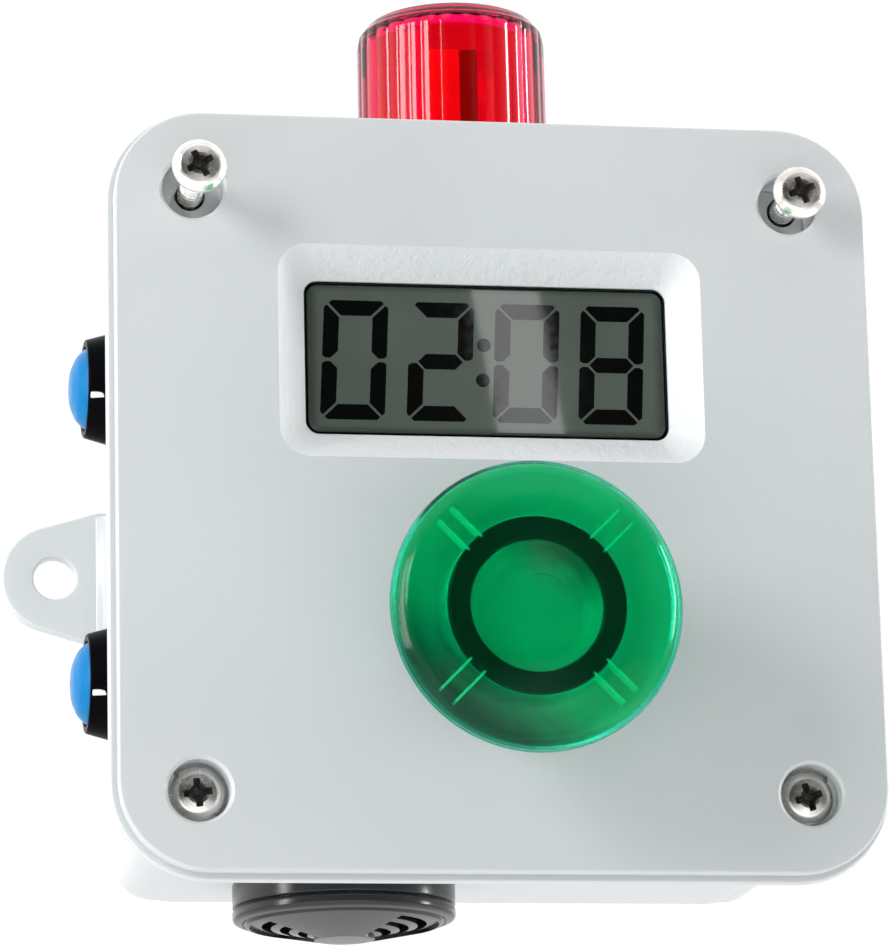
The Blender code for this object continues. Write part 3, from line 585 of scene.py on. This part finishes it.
# %% [markdown]
# ## The cover screws
# Four stainless pan-head screws with a cross recess. The two upper ones are part-way out and
# lean a little, so their threads show. The shank is a grid over height and angle whose radius
# follows the thread: it depends on height less the turn times the pitch, so the ridge climbs
# as a helix. The recess is cut with exact Booleans, because its blades cross the head's curve,
# and its faces keep the cutters' darker finish: painted shade inside the cross recess.

# %% The shape of one screw
SHANK_R, SHANK_L, PITCH, THREAD_DEPTH = 2.05 * MM, 25 * MM, 1.41 * MM, 0.42 * MM
HEAD_H, SEAT = 2.6 * MM, 61.3 * MM


def screw_grid(columns=48):
    """Height and angle grid from the tip to the top of the head. On the shank the radius is
    reduced by a groove: the thread depth times (1 - (0.5 + 0.5 cos(phase)) ** 1.6), where the
    phase is a full turn times (height / pitch), less the angle."""
    shank_h = np.linspace(-SHANK_L, -0.6 * MM, 190)
    tip = (-SHANK_L, -SHANK_L + 0.02 * MM, -SHANK_L + 1.2 * MM)
    shank_r = np.interp(shank_h, tip, (0, 1.2 * MM, SHANK_R))
    head = softened([(2.05, -0.6, 0), (2.05, 0.3, 0.1), (4.0, 0.3, 0.2), (4.35, 0.7, 0.3), (4.3, 1.2, 0.5),
                     (3.35, 2.25, 1.6), (1.7, 2.62, 1.5), (0, 2.62, 0)], 7) * MM
    height = np.concatenate((shank_h, head[1:, 1]))
    radius = np.concatenate((shank_r, head[1:, 0]))
    angle = np.linspace(0, 2 * np.pi, columns, endpoint=False)
    phase = (height[:, None] / PITCH - angle / (2 * np.pi)) * 2 * np.pi
    threaded = np.clip((-1.6 * MM - height) / MM, 0, 1) * np.clip((height + SHANK_L) / (1.5 * MM), 0, 1)
    groove = THREAD_DEPTH * (1 - (0.5 + 0.5 * np.cos(phase)) ** 1.6) * threaded[:, None]
    radial = np.maximum(radius[:, None] - groove, 0)
    return np.stack((radial * np.cos(angle), radial * np.sin(angle), height[:, None] + 0 * angle), -1)


def turned_by(points, turn):
    """The points turned about the height axis, by an angle in radians."""
    c, s = math.cos(turn), math.sin(turn)
    return points @ np.array(((c, s, 0), (-s, c, 0), (0, 0, 1)))


def cross_wing(turn):
    """One tapering blade of the cross recess, turned about the screw's axis."""
    rows = rounded_rings((2.35 * MM, 2.2 * MM, 1.2 * MM), (0.60 * MM, 0.52 * MM, 0.38 * MM),
                         (0.2 * MM, 0.2 * MM, 0.2 * MM), (3.0 * MM, 2.2 * MM, 0.5 * MM), 3)
    return turned_by(rows, turn)


def leaned(points, lean, out):
    """A loose screw leans a little in its hole: each point moves sideways by the lean (in
    millimetres) times its height above the seat, over the height of the head's top above it."""
    share = (points[..., 2:] + out) / (HEAD_H + out)
    return points + share * np.array((*lean, 0)) * MM


print("screw shape:", screw_grid().shape[:2], "grid")

# %% The four screws
SCREW_LEAN = {"top_left": (-0.40, 0.05), "top_right": (0.32, -0.05)}
SCREW_TURN = {"top_left": 0.5, "top_right": 0.35, "bottom_left": 0.12, "bottom_right": 0.3}
steel = finish("polished_steel", (0.80, 0.785, 0.76), 0.12, 1.0)
streak = noise(steel, 520, 3, 0.6)
tarnish = remap(steel, noise(steel, 300, 2), 0, 1)
tone = mix_colour(steel, tarnish, (0.66, 0.63, 0.58), (0.88, 0.87, 0.85))
link(steel, tone, shader_input(steel, "Base Color"))
link(steel, remap(steel, streak, 0.14, 0.34), shader_input(steel, "Roughness"))
link(steel, bump(steel, noise(steel, 900, 3), 0.06, 0.0002), shader_input(steel, "Normal"))
# Painted shade: the cross recess's faces get this darker steel finish.
recess_painted_shade_steel = plain("steel_recess_painted_shade", (0.10, 0.095, 0.09), 0.5, 0.8, grain=1500, relief=0.2, drift=0.3)
for name, place in screw_places.items():
    head_top = -screw_boxes[name][0].y
    shift = (place.x, -(head_top - HEAD_H), place.z)
    out = head_top - HEAD_H - SEAT
    lean = SCREW_LEAN.get(name, (0, 0))
    screw = mesh_object("screw_" + name, [quads_of(facing(leaned(screw_grid(), lean, out), "front", shift))])
    blades = [cross_wing(SCREW_TURN[name] + quarter) for quarter in (0, math.pi / 2)]
    wings = [mesh_object("wing", [quads_of(facing(leaned(blade, lean, out), "front", shift), caps=True)])
             for blade in blades]
    middle = (shift[0] + lean[0] * MM, shift[1], shift[2] + lean[1] * MM)
    dimple = [(0, 0.1, 0), (0.9, 0.9, 0), (1.5, 3.2, 0), (0, 3.2, 0)]
    wings.append(lathe("dimple", dimple, "front", middle, 12))
    for piece in (screw, *wings):
        piece.data.materials.append(steel)
        piece.data.materials.append(recess_painted_shade_steel)
    for wing in wings:
        wing.data.polygons.foreach_set("material_index", np.ones(len(wing.data.polygons), np.int32))
    boolean(screw, wings, sharp_degrees=32)
    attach(screw, "screw_" + name)
    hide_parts("cover_screw_" + name)
    print(screw.name, len(screw.data.polygons), "faces")

# %% [markdown]
# ## The time display
# A liquid-crystal cell sits at the bottom of the recess: a thin rounded plate of grey-green
# glass. Its colour is even, and a high power of the distance from the middle darkens the rim: painted shade
# along the recess's edge.

# %% The glass
glass_half = ((glass_high.x - glass_low.x) / 2, (glass_high.z - glass_low.z) / 2)
GLASS_FRONT = -glass_low.y
glass_levels = np.array((GLASS_FRONT - 1.6 * MM, GLASS_FRONT - 0.35 * MM, GLASS_FRONT))
glass_inset = np.array((0, 0, 0.35 * MM))
glass_points = rounded_rings(glass_half[0] - glass_inset, glass_half[1] - glass_inset,
                             1.9 * MM - glass_inset * 0.5, glass_levels, 10)
display_glass = mesh_object("display_cell", [
    quads_of(facing(glass_points, "front", (DISPLAY_X, 0, DISPLAY_Z)), caps=True)])
lcd = finish("lcd_glass", (0.083, 0.1, 0.085), 0.1, specular_ior_level=0.5)
place = node(lcd, "ShaderNodeTexCoord")
centred = node(lcd, "ShaderNodeMapping")
centred.inputs["Location"].default_value = (-DISPLAY_X / glass_half[0], 0, -DISPLAY_Z / glass_half[1])
centred.inputs["Scale"].default_value = (1 / glass_half[0], 0, 1 / glass_half[1])
link(lcd, place.outputs["Object"], centred.inputs["Vector"])
split = node(lcd, "ShaderNodeSeparateXYZ")
link(lcd, centred.outputs["Vector"], split.inputs[0])


def calculate(made, operation, first, second=None):
    """One arithmetic node. Each value is a number or another node's output."""
    new = node(made, "ShaderNodeMath", operation=operation)
    for socket, value in zip(new.inputs, (first, second)):
        if value is None:
            continue
        if isinstance(value, (int, float)):
            socket.default_value = value
        else:
            link(made, value, socket)
    return new.outputs[0]


across = calculate(lcd, "ABSOLUTE", split.outputs["X"])
upward = calculate(lcd, "ABSOLUTE", split.outputs["Z"])
# The darker rim is painted shade where the recess's edge meets the glass.
rim = calculate(lcd, "MAXIMUM", calculate(lcd, "POWER", across, 10), calculate(lcd, "POWER", upward, 7))
field = mix_colour(lcd, remap(lcd, noise(lcd, 60), 0, 1), (0.076, 0.094, 0.078), (0.090, 0.109, 0.092))
link(lcd, mix_colour(lcd, remap(lcd, rim, 0, 1, 0.5, 1.0), field, (0.03, 0.035, 0.03)),
     shader_input(lcd, "Base Color"))
link(lcd, remap(lcd, noise(lcd, 900), 0.02, 0.03), shader_input(lcd, "Roughness"))
display_glass.data.materials.append(lcd)
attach(display_glass, "station")
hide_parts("display_glass")
print("glass", [round(2 * v / MM, 1) for v in glass_half], "mm")

# %% [markdown]
# The figures are black. Each is built from mitred strokes and leans by a few degrees, and each
# stroke is a thin solid let into the glass, so that the figures are real shapes.

# %% The figures
FIGURE_H, FIGURE_W, STROKE, STROKE_GAP = 19.6, 10.4, 2.5, 0.3
FIGURE_PITCH, FIGURE_X, FIGURE_Z, SLANT = 13.9, -0.57, -0.3, math.tan(math.radians(3.0))
SUNK, PROUD = -0.2, 0.03
DOT_R, DOT_HEIGHTS = 1.12, (2.9, -2.9)
LIT = {"0": "abcdef", "2": "abdeg", "8": "abcdefg"}


def strokes():
    """The seven strokes of a figure centred on zero. Each is a convex outline in millimetres:
    outer edges are long, inner edges short, and ends are cut at 45 degrees a gap apart."""
    w, h, t, g = FIGURE_W / 2, FIGURE_H / 2, STROKE, STROKE_GAP
    cut = 0.9  # the outer corners' chamfer
    top = [(-w + cut + g, h), (w - cut - g, h), (w - cut / 2 - g, h - cut / 2), (w - t - g, h - t),
           (-w + t + g, h - t), (-w + cut / 2 + g, h - cut / 2)]
    middle = [(-w + 1.3 + g, 0), (-w + t + g, t / 2), (w - t - g, t / 2), (w - 1.3 - g, 0),
              (w - t - g, -t / 2), (-w + t + g, -t / 2)]
    upper = np.array([(w - cut / 2, h - cut / 2 - g), (w, h - cut - g), (w, g + 0.35), (w - 0.55, g),
                      (w - t + 1.15, g), (w - t, t / 2 + g * 0.6), (w - t, h - t - g)])
    flip_x, flip_z = np.array((-1, 1)), np.array((1, -1))
    return {"a": np.array(top), "g": np.array(middle), "b": upper, "c": upper * flip_z,
            "f": upper * flip_x, "e": upper * flip_x * flip_z, "d": np.array(top) * flip_z}


def prism(outline, low, high, outward, origin):
    """A thin solid: the outline at two heights, joined round the edge and capped."""
    rows = np.stack([np.column_stack((outline, np.full(len(outline), z))) for z in (low, high)])
    return quads_of(facing(rows * MM, outward, origin), caps=True)


figure_parts = []
figure_origin = (DISPLAY_X, -GLASS_FRONT, DISPLAY_Z + FIGURE_Z * MM)
for number, figure in enumerate("0208"):
    shift = (number - 1.5) * FIGURE_PITCH + FIGURE_X
    for key in LIT[figure]:
        outline = strokes()[key] + (shift, 0)
        outline = outline + np.stack((outline[:, 1] * SLANT, 0 * outline[:, 0]), -1)
        figure_parts.append(prism(outline, SUNK, PROUD, "front", figure_origin))
turn = np.linspace(0, 2 * np.pi, 28, endpoint=False)
for height in DOT_HEIGHTS:
    dot = np.stack((FIGURE_X + DOT_R * np.cos(turn) + height * SLANT, DOT_R * np.sin(turn) + height), -1)
    figure_parts.append(prism(dot, SUNK, PROUD, "front", figure_origin))
figures = mesh_object("display_figures", figure_parts)
figures.data.materials.append(plain("lcd_ink", (0.0012, 0.0018, 0.0015), 0.025, grain=700, relief=0.0))
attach(figures, "station")
print("figures", len(figures.data.polygons), "faces")

# %% [markdown]
# ## The mushroom push-button
# The green head is a thin shell of clear plastic, with a shallow crown, a rolled edge and a
# skirt. It's one profile spun round the axis: the inner wall from the axis outwards, then the
# outer wall back to the axis.

# %% The head
origin = (0, 0, MUSHROOM_Z)
FRONT = -mushroom_low.y / MM  # the crown's height off the wall, in millimetres
head_profile = [
    (0, FRONT - 1.2, 0), (3.8, FRONT - 1.25, 0), (3.9, FRONT - 1.33, 0.05), (4.1, FRONT - 1.33, 0.05),
    (4.2, FRONT - 1.27, 0), (9, FRONT - 1.5, 14), (16, FRONT - 2.5, 12), (20.1, FRONT - 3.75, 2),
    (21.6, FRONT - 4.95, 1.2), (21.95, FRONT - 6.2, 1.2), (21.0, FRONT - 8.6, 3), (20.0, FRONT - 12, 0),
    (20.6, FRONT - 12, 0.1), (21.7, FRONT - 8.6, 3), (22.65, FRONT - 6.1, 1.5), (22.3, FRONT - 4.3, 1.6),
    (20.6, FRONT - 2.6, 2.5), (16, FRONT - 1.3, 12), (9, FRONT - 0.3, 14), (0, FRONT, 0),
]
crown = lathe("mushroom_head", head_profile, "front", origin, 128, 6)
emerald = finish("emerald_plastic", (0.015, 0.84, 0.58), 0.09, transmission_weight=1.0, ior=1.25)
grain = noise(emerald, 1300, 3, 0.6)
link(emerald, remap(emerald, grain, 0.05, 0.16), shader_input(emerald, "Roughness"))
link(emerald, bump(emerald, grain, 0.1, 0.0002), shader_input(emerald, "Normal"))
tint = remap(emerald, noise(emerald, 80), 0, 1)
hue = mix_colour(emerald, tint, (0.012, 0.80, 0.54), (0.022, 0.88, 0.62))
link(emerald, hue, shader_input(emerald, "Base Color"))
crown.data.materials.append(emerald)
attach(crown, "mushroom_button")
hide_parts("mushroom_cap")
print("head", len(crown.data.polygons), "faces")

# %% [markdown]
# Under the crown stands a dark green ring. A funnel-shaped reflector surrounds it and a shallow
# cup fills it, both matt green, and both glow a little though they are no lamp: painted glow,
# so the head looks lit even when its lamp is off. Their colour darkens along one direction,
# painted shade. Four pairs of thin ribs run outwards from the ring.

# %% The ring, reflector and cup
def shaded(made, bright, dark, toward, start, end):
    """Paints shade: darkens the colour and glow along a direction across the head. The dark colour's share
    grows from none to full as the distance from the axis, taken along that direction, goes from start to end."""
    place = node(made, "ShaderNodeTexCoord")
    split = node(made, "ShaderNodeSeparateXYZ")
    link(made, place.outputs["Object"], split.inputs[0])
    along = calculate(made, "MULTIPLY", split.outputs["X"], toward[0])
    rise = calculate(made, "SUBTRACT", split.outputs["Z"], MUSHROOM_Z)
    distance = calculate(made, "ADD", along, calculate(made, "MULTIPLY", rise, toward[1]))
    wander = calculate(made, "ADD", distance, remap(made, noise(made, 350, 3), -0.9 * MM, 0.9 * MM))
    share = remap(made, wander, 0, 1, start * MM, end * MM)
    colour = mix_colour(made, share, bright, dark)
    link(made, colour, shader_input(made, "Base Color"))
    link(made, colour, shader_input(made, "Emission Color"))


dark_green = plain("dark_green_plastic", (0.0008, 0.022, 0.006), 0.4, grain=1100, relief=0.0, drift=0.0)
ring = lathe("mushroom_ring", [(10.3, FRONT - 17.6, 0), (13.75, FRONT - 17.6, 0), (13.75, FRONT - 5.0, 0.3),
                               (10.3, FRONT - 5.0, 0.3), (10.3, FRONT - 17.6, 0)], "front", origin, 128)
reflector = lathe("mushroom_reflector", [
    (13.8, FRONT - 17, 0), (17.4, FRONT - 17, 0.5), (19.9, FRONT - 12, 0.2), (20.9, FRONT - 8.6, 2),
    (21.85, FRONT - 6.2, 1), (21.6, FRONT - 5.1, 0.2), (20.7, FRONT - 5.2, 0.8), (18.2, FRONT - 10.5, 5),
    (16.2, FRONT - 13.3, 2.5), (14.2, FRONT - 13.5, 0.5), (14.05, FRONT - 5.6, 0.05),
    (13.8, FRONT - 5.6, 0.05), (13.8, FRONT - 17, 0)], "front", origin, 128)
cup = lathe("mushroom_cup", [
    (0, FRONT - 11.3, 0), (10.25, FRONT - 11.3, 0), (10.25, FRONT - 5.8, 0.05), (10.05, FRONT - 5.8, 0.05),
    (9.8, FRONT - 8.8, 1.5), (8.6, FRONT - 10.6, 2), (0, FRONT - 10.6, 0)], "front", origin, 96)
# The reflector glows a little, though it is no lamp: painted glow. Its colour darkens towards the lower left:
# painted shade.
reflector_painted_glow = plain("green_reflector_painted_glow_and_shade", (0.010, 0.72, 0.40), 0.45, grain=1300, relief=0.5, emission_strength=0.15)
shaded(reflector_painted_glow, (0.008, 0.60, 0.37), (0.002, 0.085, 0.062), (-0.6, -0.8), 7, 18)
# The cup glows a little too, which is painted glow. It darkens towards the upper right in a crescent of
# painted shade.
cup_painted_glow = plain("green_cup_painted_glow_and_shade", (0.006, 0.66, 0.36), 0.45, grain=1300, relief=0.1, emission_strength=0.08)
shaded(cup_painted_glow, (0.005, 0.57, 0.32), (0.002, 0.15, 0.085), (0.5, 0.87), 4.5, 10)
for piece, look in ((ring, dark_green), (reflector, reflector_painted_glow), (cup, cup_painted_glow)):
    piece.data.materials.append(look)
    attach(piece, "mushroom_button")
print("ring, reflector and cup made")

# %% The ribs
RIB_MIDDLE, RIB_OFFSET = 16.4, 1.45
rib_rows = rounded_rings((3.3 * MM,) * 2, (0.2 * MM,) * 2, (0.1 * MM,) * 2,
                         ((FRONT - 7.2) * MM, (FRONT - 5.0) * MM), 2)
rib_parts = []
for number in range(4):
    turn = (number + 0.5) * math.pi / 2
    for offset in (-RIB_OFFSET, RIB_OFFSET):
        rows = turned_by(rib_rows + np.array((RIB_MIDDLE, offset, 0)) * MM, turn)
        rib_parts.append(quads_of(facing(rows, "front", origin), caps=True))
ribs = mesh_object("mushroom_ribs", rib_parts)
# The ribs are paler than the reflector and glow a little though they are no lamp: a painted highlight.
ribs.data.materials.append(plain("rib_green_painted_highlight", (0.12, 0.80, 0.45), 0.3,
                                 emission_color=(0.1, 0.7, 0.4, 1), emission_strength=0.2))
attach(ribs, "mushroom_button")
print(len(rib_parts), "ribs made")

# %% [markdown]
# The head slides in a black collar screwed to the cover, on a black neck. Both are rings: their
# profiles end where they start.

# %% The collar and neck
black = plain("black_moulding", (0.010, 0.0105, 0.012), 0.2, grain=1500, relief=0.08, drift=0.25)
collar = lathe("mushroom_collar_skin", [
    (7.5, 60, 0), (10.85, 60, 0), (10.85, 67.6, 0), (14.6, 67.6, 0.2), (14.6, 70.6, 0.6), (13.2, 71.6, 0.6),
    (7.5, 71.6, 0.3), (7.5, 60, 0)], "front", origin, 96)
neck = lathe("mushroom_neck", [
    (4.6, 52, 0), (7.1, 52, 0), (7.1, FRONT - 12.2, 0.1), (10.1, FRONT - 12.1, 0.2),
    (10.1, FRONT - 11.7, 0.1), (4.6, FRONT - 11.7, 0), (4.6, 52, 0)], "front", origin, 72)
for piece, body, stands_for in ((collar, "station", "mushroom_collar"),
                                (neck, "mushroom_button", "mushroom_plunger")):
    piece.data.materials.append(black)
    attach(piece, body)
    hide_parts(stands_for)
print("collar and neck made")

# %% [markdown]
# ## The side push-buttons
# Two small push-buttons stand on the left side: a domed blue cap in a tapered black bezel.
# Both are spun profiles. A small raised pip on the bezel is white: a painted highlight for a glint on the
# bezel.

# %% The side push-buttons
blue = plain("blue_plastic", (0.002, 0.175, 0.44), 0.3, grain=1000, relief=0.04, drift=0.08,
             specular_ior_level=0.15)
deep_black = plain("black_bezel", (0.002, 0.002, 0.003), 0.3, grain=1500, relief=0.08, drift=0.25,
                   specular_ior_level=0.02)
# The pip's white is a painted highlight, standing for a glint low on the bezel's front.
pip_painted_glint = plain("pip_white_painted_glint", (0.82, 0.82, 0.8), 0.35)
for which, height in button_heights.items():
    origin = (-SIDE, -MID, height)
    cap = lathe(which + "_cap", [
        (0, -11, 0), (3, -11, 0), (3, -2, 0), (6.55, -2, 0.2), (6.6, 6.45, 0.25), (6.35, 6.8, 0.25),
        (5.2, 7.95, 3.5), (3.0, 8.9, 6), (0, 9.2, 0)], "left", origin, 96, 8)
    cap.data.materials.append(blue)
    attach(cap, which + "_button")
    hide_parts(which + "_button_cap")
    bezel = lathe(which + "_bezel", [
        (7.0, -16, 0), (7.8, -16, 0), (7.8, 1.6, 0), (9.3, 1.6, 0.25), (9.2, 2.4, 0.5), (8.1, 6.4, 0.2),
        (7.9, 6.6, 0.1), (6.95, 6.6, 0.15), (6.95, -4, 0), (7.0, -16, 0)], "left", origin, 96)
    pip_rows = rounded_rings((0.45 * MM, 0.45 * MM, 0.2 * MM), (1.1 * MM, 1.1 * MM, 0.8 * MM),
                             (0.2 * MM,) * 3, (-0.5 * MM, 0.12 * MM, 0.3 * MM), 3)
    pip_grid = np.stack((pip_rows[..., 2], pip_rows[..., 0], pip_rows[..., 1]), -1)
    pip_grid = pip_grid + np.array((7.95, -3.0, 5.2)) * MM
    pip = mesh_object(which + "_pip", [quads_of(facing(pip_grid, "left", origin), caps=True)])
    pip.data.materials.append(pip_painted_glint)
    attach(pip, "station")
    bezel.data.materials.append(deep_black)
    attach(bezel, "station")
    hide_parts(which + "_button_bezel")
    print(cap.name, bezel.name, "and", pip.name, "made")

# %% [markdown]
# ## The beacon
# The beacon's lens is a clear red cup with fine flutes round the outside of its wall, which
# bend the light into bright and dark stripes. It's a grid over height and angle, and the outer
# radius swings with the size of a cosine of the angle.

# %% The lens
LENS_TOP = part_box("beacon_lens")[1].z
FLUTES, FLUTE_DEPTH = 32, 0.2


def lens_grid(columns=480):
    """Rows run up the fluted wall, over the dome, and back down inside. Each flute is a convex
    lobe: the wall is pushed in by a depth times one less the size of the cosine of the angle
    times half the count. Each corner's last value is its share of that depth, which fades out
    on the dome and is none inside."""
    top = LENS_TOP / MM - SIDE_MM
    outer = softened([
        (13.4, 5.9, 0, 0), (15.75, 5.9, 0.3, 0), (15.85, 6.8, 0.3, 1), (15.75, top - 5.4, 0.5, 1),
        (15.5, top - 3.9, 1.2, 0.2), (14.0, top - 1.9, 2.2, 0), (7.5, top - 0.25, 9, 0), (0, top, 0, 0)], 8)
    inner = softened([
        (0, top - 1.8, 0, 0), (11.2, top - 3.4, 3, 0), (13.2, top - 5.6, 1.2, 0), (13.3, 6.5, 0.5, 0),
        (13.4, 5.9, 0, 0)], 6)
    profile_r, profile_h, share = np.concatenate((outer, inner)).T[:, :, None]
    angle = np.linspace(0, 2 * np.pi, columns, endpoint=False)
    wave = 1 - np.abs(np.cos(FLUTES / 2 * angle))
    radius = (profile_r - share * FLUTE_DEPTH * wave) * MM
    height = SIDE + profile_h * MM
    return np.stack((radius * np.cos(angle), radius * np.sin(angle) - MID, height + 0 * angle), -1)


lens = mesh_object("beacon_lens_skin", [quads_of(lens_grid())], 50)
crimson = finish("crimson_plastic", (0.75, 0.002, 0.07), 0.04, transmission_weight=1.0, ior=1.45)
link(crimson, remap(crimson, noise(crimson, 400), 0.02, 0.06), shader_input(crimson, "Roughness"))
tint = remap(crimson, noise(crimson, 50), 0, 1)
hue = mix_colour(crimson, tint, (0.68, 0.001, 0.058), (0.80, 0.002, 0.080))
link(crimson, hue, shader_input(crimson, "Base Color"))
lens.data.materials.append(crimson)
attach(lens, "station")
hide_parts("beacon_lens")
print("lens", len(lens.data.polygons), "faces")

# %% [markdown]
# Inside the lens a square lit column stands beside a duller red bracket. Together they nearly
# fill the width of the frame's lamp. The lens sits on a black base, whose stem enters the box.

# %% The lamp column and its bracket
column_low, column_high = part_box("beacon_lamp")
cad_half = (column_high.x - column_low.x) / 2
half = cad_half * 0.7
column_foot = column_low.z + 8 * MM
column_halves = (half, half, half - 0.4 * MM)
column_rows = rounded_rings(column_halves, column_halves, (0.5 * MM,) * 3,
                            (column_foot, column_high.z - 0.4 * MM, column_high.z), 4)
column = mesh_object("beacon_column", [
    quads_of(facing(column_rows, "up", (half - cad_half, -MID, 0)), caps=True)])
bracket_rows = rounded_rings((0.28 * cad_half,) * 2, (0.6 * cad_half,) * 2, (0.3 * MM,) * 2,
                             (column_foot, column_high.z), 3)
bracket = mesh_object("beacon_bracket", [
    quads_of(facing(bracket_rows, "up", (0.70 * cad_half, -MID, 0)), caps=True)])
bracket.data.materials.append(plain("bracket_red", (0.62, 0.015, 0.055), 0.5))
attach(bracket, "station")
lamp_red = plain("lamp_column", (0.95, 0.10, 0.08), 0.35, emission_color=(1.0, 0.06, 0.04, 1),
                 emission_strength=0.8)
column.data.materials.append(lamp_red)
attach(column, "station")
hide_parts("beacon_lamp")
print("column and bracket made")

# %% The beacon's base
base = lathe("beacon_base_skin", [
    (9.2, -14, 0), (10.85, -14, 0), (10.85, 1.5, 0), (16.6, 1.5, 0.3), (16.6, 5.5, 0.5), (12.8, 5.5, 0.1),
    (12.8, 9, 0.3), (9.2, 9, 0.3), (9.2, -14, 0)], "up", (0, -MID, SIDE), 96)
base.data.materials.append(black)
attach(base, "station")
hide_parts("beacon_base")
print("base made")

# %% [markdown]
# ## The sounder
# A black sounder hangs under the box: a short collar, a groove, a fat rolled rim and a shallow
# dome. On two sides of a smooth bar across the dome, a shallow sunk sector holds three deep
# curved slots that let the sound out. They follow arcs, so exact Booleans cut them.

# %% The sounder
origin = (SOUNDER_X, -MID, -SIDE)
sounder = lathe("sounder_skin", [
    (13, -10, 0), (14, -10, 0), (14, 1.3, 0), (18, 1.3, 0.3), (17.95, 5.2, 0.2), (17.3, 5.45, 0.1),
    (18.0, 5.75, 0.7), (18.0, 7.4, 0.8), (16.6, 7.8, 0.25), (16.3, 7.3, 0.1), (15.9, 8.15, 0.15),
    (4.5, 10.55, 0.4), (0, 10.6, 0), (0, 8.4, 0), (13, 6.2, 0), (13, -10, 0)], "down", origin, 128)


def arc_rows(inner, outer, start, end, low, high, steps=24):
    """A slot that follows an arc: its section is a rectangle between two radii and two heights,
    and it's carried round from one angle to the other."""
    angle = np.linspace(start, end, steps)[:, None]
    radius = np.array((inner, outer, outer, inner))[None, :]
    height = np.array((low, low, high, high))[None, :] + 0 * angle
    return np.stack((radius * np.cos(angle), radius * np.sin(angle), height), -1) * MM


SLOT_TURN = math.radians(17)
SECTOR, SLOTS = (4.9, 15.3, 43, 0.55), ((6.0, 7.5, 36, 5), (8.9, 10.4, 38, 5), (11.8, 13.3, 39, 5))
DOME_R, DOME_H, DOME_RUN, DOME_FALL = 4.5, 10.55, 11.4, 2.4  # the slope's start, run and fall
slots = []
for side in (SLOT_TURN, SLOT_TURN + math.pi):
    for inner, outer, reach, depth in (SECTOR, *SLOTS):
        start, end = side - math.radians(reach), side + math.radians(reach)
        rows = arc_rows(inner, outer, start, end, 0, 1)
        radial = np.linalg.norm(rows[..., :2], axis=-1) / MM
        face = DOME_H - (radial - DOME_R) * DOME_FALL / DOME_RUN
        rows[..., 2] = (face + np.where(rows[..., 2] > 0, 2.0, -depth)) * MM
        slots.append(mesh_object("slot", [quads_of(facing(rows, "down", origin), caps=True)]))
boolean(sounder, slots)
sounder.data.materials.append(black)
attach(sounder, "station")
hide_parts("sounder_housing")
print("sounder", len(sounder.data.polygons), "faces")

# %% [markdown]
# ## Everything inside and between
# The seals, nuts, springs, wires and boards keep the frame's own solids. Each gets the finish
# of the material it's made of.

# %% Finishes for the frame's own solids
inner_finishes = {
    "grey_pvc": grey_pvc,
    "stainless_steel": steel,
    "brass": plain("turned_brass", (0.72, 0.48, 0.17), 0.28, 1.0, grain=700),
    "black_rubber": plain("black_rubber", (0.022, 0.022, 0.023), 0.62, grain=1600, relief=0.15, drift=0.2),
    "black_plastic": black,
    "green_lens": emerald,
    "red_lens": crimson,
    "blue_plastic": blue,
    "display_glass": lcd,
    "white_plastic": plain("white_plastic", (0.78, 0.78, 0.74), 0.4),
    "circuit_board": plain("circuit_board", (0.015, 0.16, 0.06), 0.4, grain=2200, relief=0.2, drift=0.3),
    "battery_wrap": plain("battery_wrap", (0.05, 0.05, 0.07), 0.3, grain=300, drift=0.3),
    "wire_insulation": plain("wire_insulation", (0.5, 0.015, 0.015), 0.4, grain=1200),
}
node_slot = {entry["node"]: entry["material_slot"] for entry in frame["record"]["subparts"]}
for name, solid in frame["nodes"].items():
    solid.data.materials.clear()
    solid.data.materials.append(inner_finishes[node_slot[name]])
print("finished", len(frame["nodes"]), "solids")
